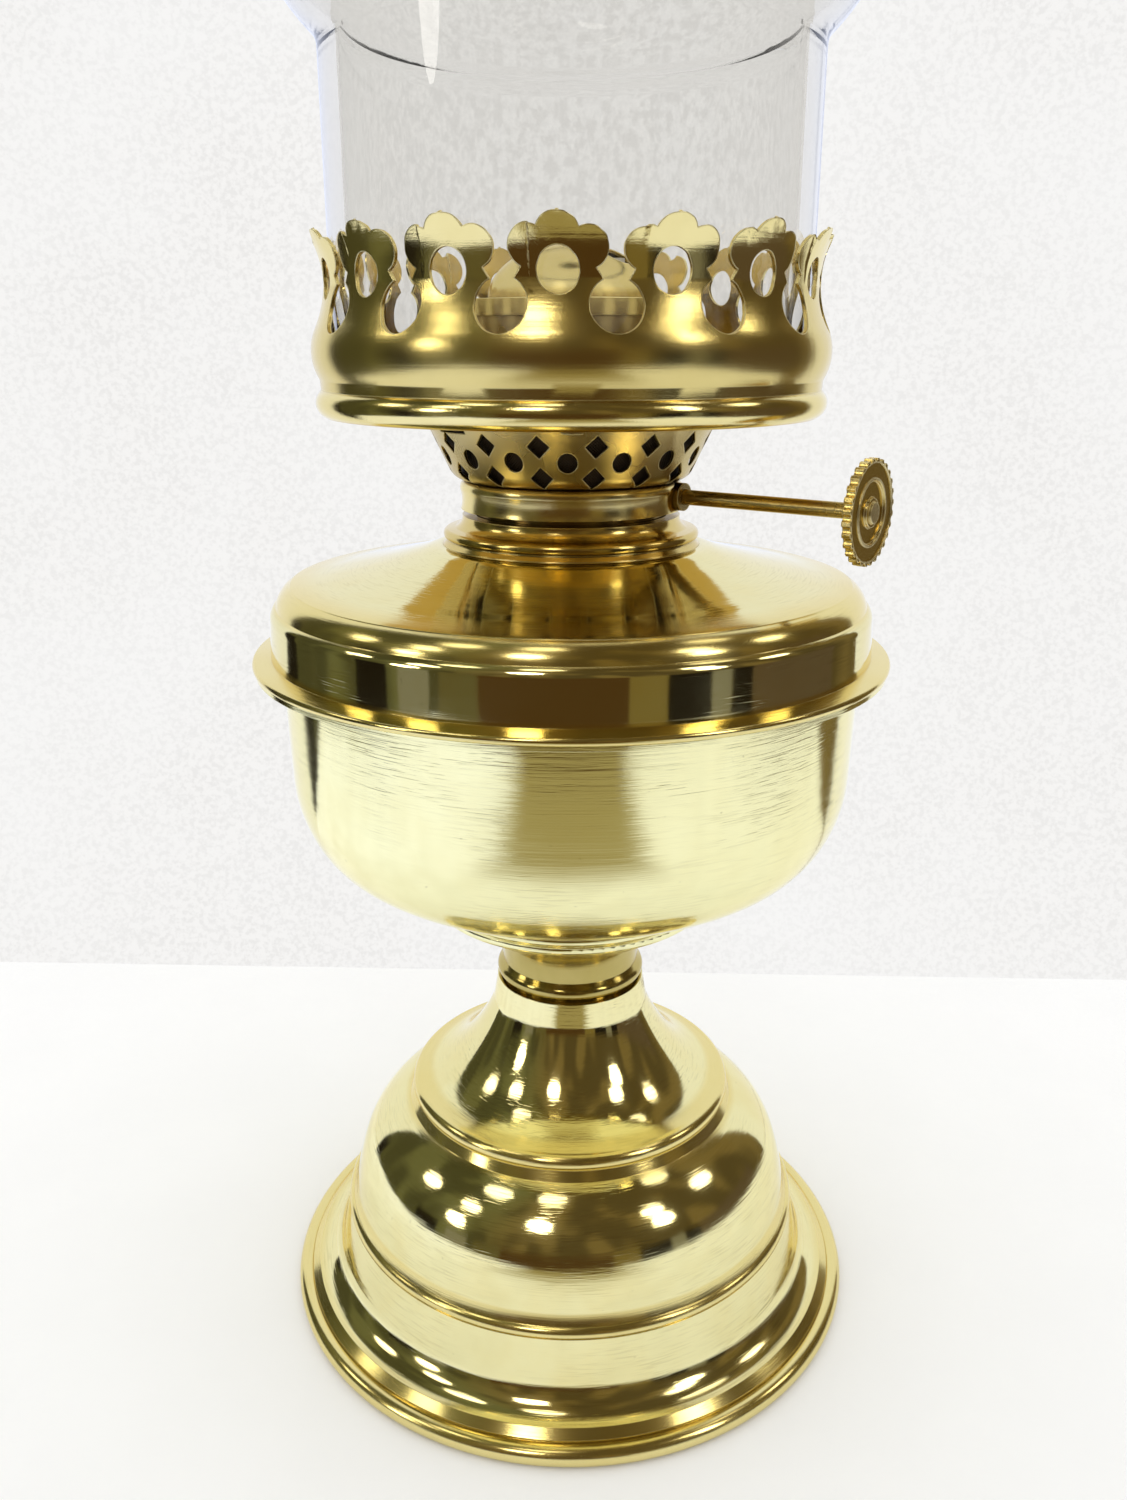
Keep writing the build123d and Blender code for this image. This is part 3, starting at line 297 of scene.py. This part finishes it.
class Net:
    """Short way to write a node tree."""

    def __init__(self, tree):
        self.tree = tree
        tree.nodes.clear()

    def add(self, kind, inputs=None, **settings):
        node = self.tree.nodes.new(kind)
        for key, value in settings.items():
            setattr(node, key, value)
        for socket, value in (inputs or {}).items():
            self.feed(node.inputs[socket], value)
        return node

    def feed(self, socket, value):
        if isinstance(value, bpy.types.NodeSocket):
            self.tree.links.new(value, socket)
        else:
            socket.default_value = value

    def output(self, shader, kind="ShaderNodeOutputMaterial"):
        self.add(kind, {"Surface": shader.outputs[0]})

    def place(self):
        return self.add("ShaderNodeTexCoord").outputs["Object"]

    def split(self, vector):
        return self.add("ShaderNodeSeparateXYZ", {"Vector": vector}).outputs

    def combine(self, x, y, z):
        return self.add("ShaderNodeCombineXYZ", {"X": x, "Y": y, "Z": z}).outputs["Vector"]

    def math(self, operation, *values):
        node = self.add("ShaderNodeMath", operation=operation)
        for socket, value in zip(node.inputs, values):
            self.feed(socket, value)
        return node.outputs[0]

    def times(self, a, b):
        return self.math("MULTIPLY", a, b)

    def turn(self, x, y):
        """Angle round the lamp's axis from its front, in radians."""
        return self.math("ARCTAN2", x, self.times(y, -1.0))

    def dot(self, a, b):
        node = self.add("ShaderNodeVectorMath", {0: a, 1: b}, operation="DOT_PRODUCT")
        return node.outputs["Value"]

    def ramp(self, value, low, high, to_low=0.0, to_high=1.0):
        node = self.add(
            "ShaderNodeMapRange",
            {"Value": value, "From Min": low, "From Max": high, "To Min": to_low, "To Max": to_high},
            interpolation_type="SMOOTHSTEP",
        )
        return node.outputs["Result"]

    def between(self, value, low, high, edge):
        """1 between two values and 0 outside them, with soft edges."""
        rising = self.ramp(value, low - edge, low + edge)
        falling = self.ramp(value, high + edge, high - edge)
        return self.times(rising, falling)

    def mix(self, factor, a, b):
        node = self.add("ShaderNodeMix", data_type="RGBA")
        self.feed(node.inputs["Factor"], factor)
        self.feed(node.inputs["A"], a)
        self.feed(node.inputs["B"], b)
        return node.outputs["Result"]

    def noise(self, vector, scale, detail, roughness):
        node = self.add(
            "ShaderNodeTexNoise",
            {"Vector": vector, "Scale": scale, "Detail": detail, "Roughness": roughness},
        )
        return node.outputs["Fac"]

    def bump(self, height, strength, distance, normal=None):
        inputs = {"Height": height, "Strength": strength, "Distance": distance}
        if normal is not None:
            inputs["Normal"] = normal
        return self.add("ShaderNodeBump", inputs).outputs["Normal"]


def new_material(name):
    material = bpy.data.materials.new(name)
    material.use_nodes = True
    return material, Net(material.node_tree)


# ================================================================ brass
def spun_surface(net, normal, place, round_place, wave, lines, grain):
    """Slow waves, coarse and fine lines round the axis, and the grain of old metal."""
    normal = net.bump(net.noise(place, *WAVE_NOISE), wave, WAVE_DEEP, normal)
    normal = net.bump(net.noise(round_place, *COARSE_NOISE), lines, COARSE_DEEP, normal)
    normal = net.bump(net.noise(round_place, *LINE_NOISE), lines, LINE_DEEP, normal)
    if grain:
        normal = net.bump(net.noise(place, *GRAIN_NOISE), grain, GRAIN_DEEP, normal)
    return normal


def scratches(net, place, dash_place, turn, clean_front):
    """Where short scratches lie: in patches, and not within clean_front radians of the front."""
    dash = net.ramp(net.noise(dash_place, *DASH_NOISE), *DASH_RANGE)
    patch = net.ramp(net.noise(place, *PATCH_NOISE), *PATCH_RANGE)
    scratched = net.times(dash, patch)
    if clean_front:
        aside = net.math("ABSOLUTE", turn)
        aside = net.ramp(aside, clean_front - DASH_FADE, clean_front + DASH_FADE)
        scratched = net.times(scratched, aside)
    return scratched


def browned_and_shaded_sides(net, facing, x, y, tint, finish):
    """Browner metal on the sides that face the flame; painted shade in brown gold, and duller metal,
    on those that face down.
    """
    outward = net.add("ShaderNodeVectorMath", {0: net.combine(x, y, 0.0)}, operation="NORMALIZE")
    inner = net.ramp(net.dot(facing, outward.outputs["Vector"]), *INNER_RANGE)
    tint = net.mix(inner, tint, rgba(INNER_BRASS))
    # painted shade on the sides that face down
    down = net.ramp(net.split(facing)["Z"], *UNDER_RANGE)
    tint = net.mix(down, tint, rgba(UNDER_PAINTED_SHADE))
    return tint, net.math("MAXIMUM", finish, net.times(down, UNDER_ROUGH))


def brass_material(
    name,
    colour=BRASS,
    shade=GOLD_BRASS,
    rough=0.09,
    rough_spread=0.05,
    wave=0.35,
    lines=0.10,
    brushed=0.0,
    scratch=0.0,
    clean_front=0.0,
    grain=0.0,
    tarnish_and_shade=0.5,
    edge=0.15 * MM,
    edge_wear_and_highlight=0.0,
    rolls=(),
    browned_and_shaded=False,
):
    """Spun or pressed brass: waves, lines round the axis, wear, and tarnish with painted shade in its
    creases.
    """
    material, net = new_material(name)
    place = net.place()
    x, y, z = net.split(place)
    radius = net.math("SQRT", net.math("ADD", net.times(x, x), net.times(y, y)))
    turn = net.turn(x, y)
    facing = net.add("ShaderNodeNewGeometry").outputs["Normal"]
    rounded = net.add("ShaderNodeBevel", {"Radius": edge}, samples=4).outputs["Normal"]
    round_place = net.combine(net.times(turn, LINE_RUN), radius, z)
    normal = spun_surface(net, rounded, place, round_place, wave, lines, grain)

    cloud = net.ramp(net.noise(place, *CLOUD_NOISE), *CLOUD_RANGE)
    cloudy = [(1.0 - CLOUD_SHARE) * a + CLOUD_SHARE * b for a, b in zip(colour, shade)]
    tint = net.mix(cloud, rgba(colour), rgba(cloudy))
    if scratch:
        dash_place = net.combine(net.times(turn, DASH_RUN), radius, z)
        scratched = scratches(net, place, dash_place, turn, clean_front)
        normal = net.bump(scratched, scratch, DASH_DEEP, normal)
        pit = net.ramp(net.noise(place, *PIT_NOISE), *PIT_RANGE)
        tint = net.mix(net.times(pit, scratch), tint, rgba(shade, PIT_SHADE))
        tint = net.mix(net.times(scratched, DASH_DARK), tint, rgba(shade, DASH_SHADE))
    # creases get tarnish and painted shade, darker where they see less sky
    crease = net.add("ShaderNodeAmbientOcclusion", {"Distance": CREASE_REACH}, samples=6)
    tarnish_and_shade_share = net.ramp(crease.outputs["AO"], *CREASE_RANGE, 0.0, tarnish_and_shade)
    tint = net.mix(tarnish_and_shade_share, tint, rgba(CREASE_TARNISH_AND_SHADE))

    smear = net.noise(place, *SMEAR_NOISE)
    finish = net.ramp(smear, *SMEAR_RANGE, rough - rough_spread / 2, rough + rough_spread)
    # rolled bands: duller metal, and a painted reflection of deeper gold
    for low, high in rolls:
        roll = net.between(z, low, high, ROLL_EDGE)
        finish = net.math("ADD", finish, net.times(roll, ROLL_ROUGH))
        tint = net.mix(net.times(roll, ROLL_REFLECTED_GOLD), tint, rgba(shade))
    if browned_and_shaded:
        tint, finish = browned_and_shaded_sides(net, facing, x, y, tint, finish)
    if edge_wear_and_highlight:
        # rounded edges get wear and a painted highlight in a lighter tint, and duller metal
        rim = net.ramp(net.dot(facing, rounded), *RIM_RANGE, 0.0, edge_wear_and_highlight)
        tint = net.mix(rim, tint, rgba(EDGE_WEAR_AND_HIGHLIGHT))
        finish = net.math("ADD", finish, net.times(rim, WORN_ROUGH))

    shader = net.add(
        "ShaderNodeBsdfPrincipled",
        {
            "Base Color": tint,
            "Metallic": 1.0,
            "Roughness": finish,
            "Specular Tint": rgba(EDGE_TINT),
            "Normal": normal,
            "Anisotropic": brushed,
            "Anisotropic Rotation": ACROSS_THE_LINES,
        },
    )
    if brushed:
        tangent = net.add("ShaderNodeTangent", direction_type="RADIAL", axis="Z")
        net.feed(shader.inputs["Tangent"], tangent.outputs["Tangent"])
    net.output(shader)
    return material


def above(node, *spans):
    """Spans of height above a node's lowest point, as heights in the frame."""
    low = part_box(node)[0].z
    return [(low + start, low + end) for start, end in spans]


def polished_brass():
    return brass_material(
        "polished_brass",
        rough_spread=0.04,
        wave=0.22,
        lines=0.45,
        brushed=0.65,
        scratch=0.2,
        rolls=above("foot", FOOT_RIM, FOOT_STEP, FOOT_THROAT),
    )


def neck_shaded_brass():
    return brass_material(
        "neck_shaded_brass", NECK_SHADED_BRASS, NECK_SHADE, rough=0.17, wave=0.15, lines=0.5, brushed=0.7
    )


def satin_brass():
    return brass_material(
        "satin_brass",
        SATIN_LIT_BRASS,
        SATIN_SHADE,
        rough=0.12,
        wave=0.10,
        lines=0.75,
        brushed=0.85,
        scratch=0.35,
        tarnish_and_shade=0.3,
    )


def tank_brass():
    return brass_material(
        "tank_brass",
        TANK_BRASS,
        rough=0.075,
        rough_spread=0.04,
        wave=0.18,
        lines=0.35,
        brushed=0.7,
        scratch=0.19,
        clean_front=0.42,
        rolls=above("shoulder", TANK_LIP, TANK_ROLL, TANK_MOUTH),
    )


def collar_shaded_brass():
    return brass_material(
        "collar_shaded_brass",
        COLLAR_SHADED_BRASS,
        COLLAR_SHADE,
        rough=0.16,
        wave=0.2,
        lines=0.45,
        brushed=0.6,
        tarnish_and_shade=0.9,
        edge=0.3 * MM,
        edge_wear_and_highlight=0.6,
    )


def ring_brass():
    return brass_material(
        "ring_brass", RING_BRASS, rough=0.2, wave=0.25, lines=0.6, brushed=0.5, tarnish_and_shade=0.9
    )


def crown_brass():
    return brass_material(
        "crown_brass",
        CROWN_BRASS,
        CROWN_SHADE,
        rough=0.12,
        wave=0.4,
        lines=0.45,
        brushed=0.5,
        grain=0.2,
        edge=0.25 * MM,
        edge_wear_and_highlight=0.8,
        rolls=above("gallery", CROWN_BELLY),
        browned_and_shaded=True,
    )


def burner_brass():
    return brass_material(
        "burner_brass",
        BURNER_BRASS,
        BURNER_SHADE,
        rough=0.25,
        grain=0.35,
        tarnish_and_shade=1.0,
        edge=0.3 * MM,
        edge_wear_and_highlight=1.0,
    )


# ================================================================ other materials
def glass_material():
    """Clear glass with faint drawn waves; its shadow is light."""
    material, net = new_material("chimney_glass")
    x, y, z = net.split(net.place())
    drawn = net.combine(x, y, net.times(z, GLASS_DRAWN))
    wave = net.noise(drawn, *GLASS_NOISE)
    shader = net.add(
        "ShaderNodeBsdfPrincipled",
        {
            "Base Color": rgba(GLASS_COLOUR),
            "Roughness": 0.0,
            "IOR": 1.38,
            "Transmission Weight": 1.0,
            "Normal": net.bump(wave, GLASS_BUMP, GLASS_DEEP),
        },
    )
    clear = net.add("ShaderNodeBsdfTransparent", {"Color": rgba(GLASS_SHADOW)})
    path = net.add("ShaderNodeLightPath").outputs
    soft = net.math("MAXIMUM", path["Is Shadow Ray"], path["Is Diffuse Ray"])
    both = net.add("ShaderNodeMixShader", {0: soft, 1: shader.outputs[0], 2: clear.outputs[0]})
    net.output(both)
    return material


def steel_material():
    """Plain bolt steel, dull in clouds."""
    material, net = new_material("plain_steel")
    place = net.place()
    grain = net.noise(place, *STEEL_GRAIN)
    cloud = net.ramp(net.noise(place, *STEEL_CLOUDS), *PLAIN_RANGE)
    shader = net.add(
        "ShaderNodeBsdfPrincipled",
        {
            "Base Color": net.mix(cloud, rgba(STEEL_LIGHT), rgba(STEEL_DARK)),
            "Metallic": 1.0,
            "Roughness": net.ramp(grain, *STEEL_RANGE, *STEEL_ROUGH),
            "Normal": net.bump(grain, 0.4, STEEL_DEEP),
        },
    )
    net.output(shader)
    return material


def cotton_material():
    """Woven cotton of the wick."""
    material, net = new_material("wick_cotton")
    grain = net.noise(net.place(), *COTTON_GRAIN)
    fleck = net.ramp(grain, *PLAIN_RANGE)
    shader = net.add(
        "ShaderNodeBsdfPrincipled",
        {
            "Base Color": net.mix(fleck, rgba(COTTON_LIGHT), rgba(COTTON_DARK)),
            "Roughness": 0.9,
            "Normal": net.bump(grain, 0.6, COTTON_DEEP),
        },
    )
    net.output(shader)
    return material


def gauze_material():
    """Oxidised wire gauze, painted nearly black as the shade inside the basket."""
    material, net = new_material("dark_gauze")
    x, y, z = net.split(net.place())
    warp = net.math("SINE", net.times(net.turn(x, y), GAUZE_WIRES))
    weft = net.math("SINE", net.times(z, 2 * pi / GAUZE_PITCH))
    weave = net.times(warp, weft)
    shader = net.add(
        "ShaderNodeBsdfPrincipled",
        {
            "Base Color": net.mix(net.ramp(weave, *WIRE_RANGE), rgba(WIRE_DARK), rgba(WIRE_LIGHT)),
            "Metallic": 0.6,
            "Roughness": net.ramp(weave, *WIRE_RANGE, *WIRE_ROUGH),
            "Normal": net.bump(weave, 0.7, WIRE_DEEP),
        },
    )
    net.output(shader)
    return material


# ================================================================ pieces
def section(node):
    """Closed outline (radius, height) of a spun CAD node, read along its seam."""
    mesh = nodes[node].data
    seam = {v.index: v.co for v in mesh.vertices if abs(v.co.y) < SEAM_HALF and v.co.x > 0}
    links = {}
    for edge in mesh.edges:
        a, b = edge.vertices
        if a in seam and b in seam:
            near, far = (
                (round(seam[i].x / SEAM_GRID), round(seam[i].z / SEAM_GRID)) for i in (a, b)
            )
            if near != far:
                links.setdefault(near, []).append(far)
                links.setdefault(far, []).append(near)
    start = max(links)
    before, here = start, min(links[start], key=lambda point: point[1])
    loop = [start]
    while here != start:
        loop.append(here)
        before, here = here, next(point for point in links[here] if point != before)
    return [Vector((r * SEAM_GRID, z * SEAM_GRID)) for r, z in loop]


def smooth_outline(outline):
    """Split the long steps of an outline where it curves, along a curve through its points."""
    fine = []
    count = len(outline)
    for i, here in enumerate(outline):
        before, after, beyond = outline[i - 1], outline[(i + 1) % count], outline[(i + 2) % count]
        fine.append(here)
        step = after - here
        bends = [
            abs(a.angle_signed(b)) if a.length and b.length else 0.0
            for a, b in ((here - before, step), (step, beyond - after))
        ]
        if step.length < SPLIT_LENGTH or max(bends) > SHARP_BEND or min(bends) < STRAIGHT:
            continue
        for part in range(1, SPLIT_PARTS):
            t = part / SPLIT_PARTS
            fine.append(
                0.5 * (
                    2 * here
                    + (after - before) * t
                    + (2 * before - 5 * here + 4 * after - beyond) * t ** 2
                    + (3 * here - before - 3 * after + beyond) * t ** 3
                )
            )
    return fine


def smooth_piece(name, mesh):
    """A new object of the mesh, smooth except at its sharp edges."""
    work = bmesh.new()
    work.from_mesh(mesh)
    bmesh.ops.recalc_face_normals(work, faces=work.faces)
    for face in work.faces:
        face.smooth = True
    for edge in work.edges:
        edge.smooth = edge.calc_face_angle(pi) < SHARP_BEND
    work.to_mesh(mesh)
    work.free()
    piece = bpy.data.objects.new(name, mesh)
    bpy.context.scene.collection.objects.link(piece)
    return piece


def lathe(name, outline):
    """Spin a closed outline round the lamp's axis."""
    count = len(outline)
    points = []
    faces = []
    for part in range(SPIN_PARTS):
        angle = 2 * pi * part / SPIN_PARTS
        points += [(r * cos(angle), r * sin(angle), z) for r, z in outline]
        near, far = part * count, (part + 1) % SPIN_PARTS * count
        faces += [
            (near + i, far + i, far + (i + 1) % count, near + (i + 1) % count) for i in range(count)
        ]
    mesh = bpy.data.meshes.new(name)
    mesh.from_pydata(points, [], faces)
    return smooth_piece(name, mesh)


def spun_foot():
    """Foot as spun over a worn chuck: its bulge steeper below, its throat straighter."""
    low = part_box("foot")[0].z
    outline = []
    for r, z in smooth_outline(section("foot")):
        share = (z - low - BULGE_LOW) / (BULGE_HIGH - BULGE_LOW)
        if 0.0 < share < 1.0:
            r -= BULGE_PRESS * sin(2 * pi * share)
        share = (z - low - THROAT_LOW) / (THROAT_HIGH - THROAT_LOW)
        if 0.0 < share < 1.0:
            r += THROAT_FILL * sin(pi * share)
        outline.append((r, z))
    return lathe("spun_foot", outline)


def spun_neck():
    """Neck ring whose waist is nearly straight."""
    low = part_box("neck_ring")[0].z
    outline = []
    for r, z in smooth_outline(section("neck_ring")):
        share = (z - low - WAIST_LOW) / (WAIST_HIGH - WAIST_LOW)
        if 0.0 < share < 1.0 and r > WAIST_INSIDE:
            fill = 4 * share * (1 - share)          # 1 halfway up the waist
            r += WAIST_FILL * fill
        outline.append((r, z))
    return lathe("spun_neck", outline)


def spun_shoulder():
    """Shoulder whose upright band leans in a little towards its top."""
    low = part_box("shoulder")[0].z
    outline = []
    for r, z in smooth_outline(section("shoulder")):
        share = min(1.0, max(0.0, (z - low - BAND_LOW) / (BAND_HIGH - BAND_LOW)))
        outline.append((r - BAND_LEAN * share * (r > BAND_INSIDE), z))
    return lathe("spun_shoulder", outline)


def prong_whims(prong):
    """How one prong differs, the same on each run: in lean, in height, in turn and in curl."""
    across = prong * WHIM_STEP + WHIM_START
    return [noise.noise((across, WHIM_KIND * kind, WHIM_SLICE)) for kind in range(4)]


def bent_prong_point(point, root, top):
    """Where a point of the crown goes when its prong is bent by hand."""
    x, y, z = point
    share = (z - root) / (top - root)
    turn = atan2(x, -y)
    prong = round(turn / (2 * pi) * PRONGS - PRONG_SHIFT)
    centre = (prong + PRONG_SHIFT) * 2 * pi / PRONGS
    lean, drop, skew, curl = prong_whims(prong)
    tip = max(0.0, share - PRONG_TIP) / (1 - PRONG_TIP)
    ragged = RAGGED * noise.noise(point * RAGGED_SCALE)
    radius = hypot(x, y) + CROWN_LEAN * lean * share ** 2
    radius += CROWN_CURL * (CURL_MEAN + curl) * tip ** CURL_POWER
    z -= CROWN_DROP * max(0.0, DROP_MEAN + drop) * share
    z += CROWN_TILT * skew * (turn - centre) * radius * share + ragged * tip
    turn += (CROWN_SKEW * skew * share + ragged) / radius
    return radius * sin(turn), -radius * cos(turn), z


def cut_crown():
    """Gallery with hand-cut prongs: each leans, turns and stands a little differently."""
    mesh = nodes["gallery"].data.copy()
    low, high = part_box("gallery")
    root = low.z + CROWN_ROOT
    work = bmesh.new()
    work.from_mesh(mesh)
    bmesh.ops.remove_doubles(work, verts=work.verts, dist=CROWN_WELD)
    level = root
    while level < high.z:
        parts = work.verts[:] + work.edges[:] + work.faces[:]
        bmesh.ops.bisect_plane(work, geom=parts, plane_co=(0, 0, level), plane_no=(0, 0, 1))
        level += CROWN_STEP
    for vert in work.verts:
        if vert.co.z > root:
            vert.co = bent_prong_point(vert.co, root, high.z)
    work.to_mesh(mesh)
    work.free()
    return smooth_piece("cut_crown", mesh)


def basket_gauze():
    """Fine gauze that lines the basket behind its air holes; its near-black colour is painted shade.
    """
    low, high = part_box("basket")
    top = high.z - GAUZE_CLEAR
    outline = [
        (GAUZE_FOOT, low.z + GAUZE_LOW),
        (GAUZE_TOP, top),
        (GAUZE_TOP - GAUZE_SHEET, top),
        (GAUZE_FOOT - GAUZE_SHEET, low.z + GAUZE_LOW),
    ]
    return lathe("basket_gauze", outline)


# ================================================================ dressing
def dress(material, *names):
    for name in names:
        mesh = nodes[name].data
        mesh.materials.clear()
        mesh.materials.append(material)


def stand_for(piece, node, body):
    """A finer piece in a CAD node's place, in the same material."""
    piece.data.materials.clear()
    piece.data.materials.append(nodes[node].data.materials[0])
    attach(piece, body)
    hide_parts(node)


def dress_lamp():
    dress(polished_brass(), "foot")
    dress(neck_shaded_brass(), "neck_ring")
    dress(satin_brass(), "bowl")
    dress(tank_brass(), "shoulder")
    dress(collar_shaded_brass(), "tank_collar", "thumbwheel")
    dress(ring_brass(), "burner_ring")
    dress(crown_brass(), "gallery", "flame_dome")
    dress(
        burner_brass(), "burner_floor", "basket", "gallery_rivets", "deck", "draft_drum", "wick_tube",
        "spindle_cage", "vent_tube", "spindle_bush", "spindle", "spur_wheels",
    )
    dress(steel_material(), "stem_stud", "stem_washer", "stem_nut", "spindle_clip")
    dress(cotton_material(), "wick")
    dress(glass_material(), "chimney")
    stand_for(spun_foot(), "foot", "tank")
    stand_for(spun_neck(), "neck_ring", "tank")
    stand_for(spun_shoulder(), "shoulder", "tank")
    stand_for(cut_crown(), "gallery", "burner")
    gauze = basket_gauze()
    gauze.data.materials.append(gauze_material())
    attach(gauze, "burner")


# ================================================================ stage
def table_material():
    """White foam board. Metal sees it with painted light, brighter and cooler, and with a painted
    shadow: a dim patch where the viewer stands in the light.
    """
    material, net = new_material("table_foam")
    place = net.place()
    x, y = net.split(place)[:2]
    cells = net.add("ShaderNodeTexVoronoi", {"Vector": place, "Scale": FOAM_CELLS})
    cloud = net.noise(place, *TABLE_NOISE)
    cloudy = net.ramp(cloud, *PLAIN_RANGE)
    tint = net.mix(cloudy, rgba(TABLE_COLOUR), rgba(TABLE_COLOUR, TABLE_UNEVEN))
    sunny = net.mix(net.ramp(x, *BRIGHT_RANGE), rgba(MIRROR_WHITE), rgba(MIRROR_BRIGHT))
    dull = net.ramp(cloud, *MIRROR_RANGE, 0.0, MIRROR_UNEVEN)
    sunny = net.mix(dull, sunny, rgba(MIRROR_DULL))
    across = net.ramp(net.math("ABSOLUTE", x), SHADE_HALF + SHADE_EDGE, SHADE_HALF - SHADE_EDGE)
    patch = net.times(across, net.ramp(y, *SHADE_RANGE))
    mirrored = net.mix(patch, sunny, rgba(SHADE_COLOUR))
    gloss = net.add("ShaderNodeLightPath").outputs["Is Glossy Ray"]
    seen = net.mix(gloss, tint, mirrored)
    normal = net.bump(cells.outputs["Distance"], FOAM_BUMP, FOAM_DEEP)
    net.output(net.add("ShaderNodeBsdfDiffuse", {"Color": seen, "Normal": normal}))
    return material


def panel_material():
    material, net = new_material("panel_white")
    glow = net.add("ShaderNodeEmission", {"Color": rgba(MIRROR_WHITE), "Strength": PANEL_GLOW})
    net.output(glow)
    return material


def add_sheet(name, corners, material):
    mesh = bpy.data.meshes.new(name)
    mesh.from_pydata(corners, [], [(0, 1, 2, 3)])
    mesh.materials.append(material)
    sheet = bpy.data.objects.new(name, mesh)
    bpy.context.scene.collection.objects.link(sheet)
    return sheet


def add_table():
    """White table top; its back edge is turned a little."""
    slip = TABLE_SIDE * tan(TABLE_SKEW)
    corners = [
        (-TABLE_SIDE, TABLE_FRONT, 0.0),
        (TABLE_SIDE, TABLE_FRONT, 0.0),
        (TABLE_SIDE, TABLE_BACK + slip, 0.0),
        (-TABLE_SIDE, TABLE_BACK - slip, 0.0),
    ]
    add_sheet("table", corners, table_material())


def add_panel():
    """White panel behind the lamp: only its reflection in the metal is seen."""
    corners = [
        (-PANEL_HALF, TABLE_BACK, 0.0),
        (PANEL_HALF, TABLE_BACK, 0.0),
        (PANEL_HALF, TABLE_BACK, PANEL_HEIGHT),
        (-PANEL_HALF, TABLE_BACK, PANEL_HEIGHT),
    ]
    panel = add_sheet("panel", corners, panel_material())
    panel.visible_camera = False
    panel.visible_diffuse = False
    panel.visible_transmission = False
    panel.visible_shadow = False


# ================================================================ world and lamps
def add_lamp(turn, rise, strength):
    """One small ceiling lamp: it only glints in the metal and the glass."""
    aim = Vector((sin(turn) * cos(rise), -cos(turn) * cos(rise), sin(rise)))
    light = bpy.data.lights.new("ceiling_lamp", "AREA")
    light.shape = "DISK"
    light.size = LAMP_SIZE
    light.energy = LAMP_POWER * strength
    light.color = LAMP_COLOUR
    lamp = bpy.data.objects.new("ceiling_lamp", light)
    lamp.location = aim * LAMP_FAR
    lamp.rotation_euler = aim.to_track_quat("Z", "Y").to_euler()
    lamp.visible_camera = False
    lamp.visible_diffuse = False
    lamp.visible_transmission = False
    bpy.context.scene.collection.objects.link(lamp)


def add_lamps():
    for turn, rise, strength in LAMP_AIMS:
        add_lamp(radians(turn), radians(rise), strength)


def room_seen_by_metal(net, way):
    """Dim room round the lamp: upright strips of dark and light, a murky ceiling above them."""
    x, y, z = net.split(way)
    turn = net.math("DEGREES", net.turn(x, y))
    rise = net.math("DEGREES", net.math("ARCSINE", z))
    murk = net.noise(net.combine(x, y, net.times(z, MURK_TALL)), *MURK_NOISE)
    ceiling = net.mix(net.ramp(turn, *GREEN_RANGE), rgba(ROOM), rgba(ROOM_GREEN))
    ceiling = net.mix(net.ramp(murk, *MURK_RANGE, 0.0, MURK_DARK), ceiling, rgba(ROOM_DARK))
    strips = ceiling
    for first, last, colour in ROOM_STRIPS:
        strips = net.mix(net.between(turn, first, last, STRIP_EDGE), strips, rgba(colour))
    return net.mix(net.ramp(rise, *CEILING_RANGE), strips, ceiling)


def wall_seen_by_eye(net, way, through_glass):
    """Wall of pressed foam beads; through the glass its mottle is coarser."""
    gap = net.ramp(net.noise(way, *BEAD_NOISE), *BEAD_RANGE)
    wall = net.mix(gap, rgba(WALL_COLOUR), rgba(WALL_COLOUR, BEAD_GAP))
    cloud = net.ramp(net.noise(way, *WALL_NOISE), *PLAIN_RANGE, 0.0, WALL_UNEVEN)
    wall = net.mix(cloud, wall, rgba(WALL_LIGHT))
    mottle = net.ramp(net.noise(way, *MOTTLE_NOISE), *MOTTLE_RANGE)
    mottled = net.mix(mottle, wall, rgba(WALL_COLOUR, MOTTLE_DARK))
    return net.mix(through_glass, wall, mottled)


def build_world():
    """Pale surroundings for the eye and for soft light; a dim warm room for the metal."""
    world = bpy.data.worlds.new("world")
    bpy.context.scene.world = world
    world.use_nodes = True
    world.cycles.sampling_method = "NONE"
    net = Net(world.node_tree)
    way = net.add("ShaderNodeTexCoord").outputs["Generated"]
    path = net.add("ShaderNodeLightPath").outputs
    colour = net.mix(path["Is Glossy Ray"], rgba(SOFT_LIGHT), room_seen_by_metal(net, way))
    seen = net.math("MAXIMUM", path["Is Camera Ray"], path["Is Transmission Ray"])
    colour = net.mix(seen, colour, wall_seen_by_eye(net, way, path["Is Transmission Ray"]))
    back = net.add("ShaderNodeBackground", {"Color": colour, "Strength": 1.0})
    net.output(back, "ShaderNodeOutputWorld")


def add_camera():
    camera = bpy.data.cameras.new("camera")
    camera.sensor_fit = "VERTICAL"
    camera.sensor_height = CAMERA_SENSOR
    camera.lens = CAMERA_LENS
    camera.clip_start = CAMERA_NEAR
    holder = bpy.data.objects.new("camera", camera)
    holder.location = CAMERA_PLACE
    holder.rotation_euler = (pi / 2 - CAMERA_TILT, 0, 0)
    bpy.context.scene.collection.objects.link(holder)
    bpy.context.scene.camera = holder


add_camera()
build_world()
add_lamps()
add_table()
add_panel()
dress_lamp()
bpy.context.scene.view_settings.view_transform = "Standard"
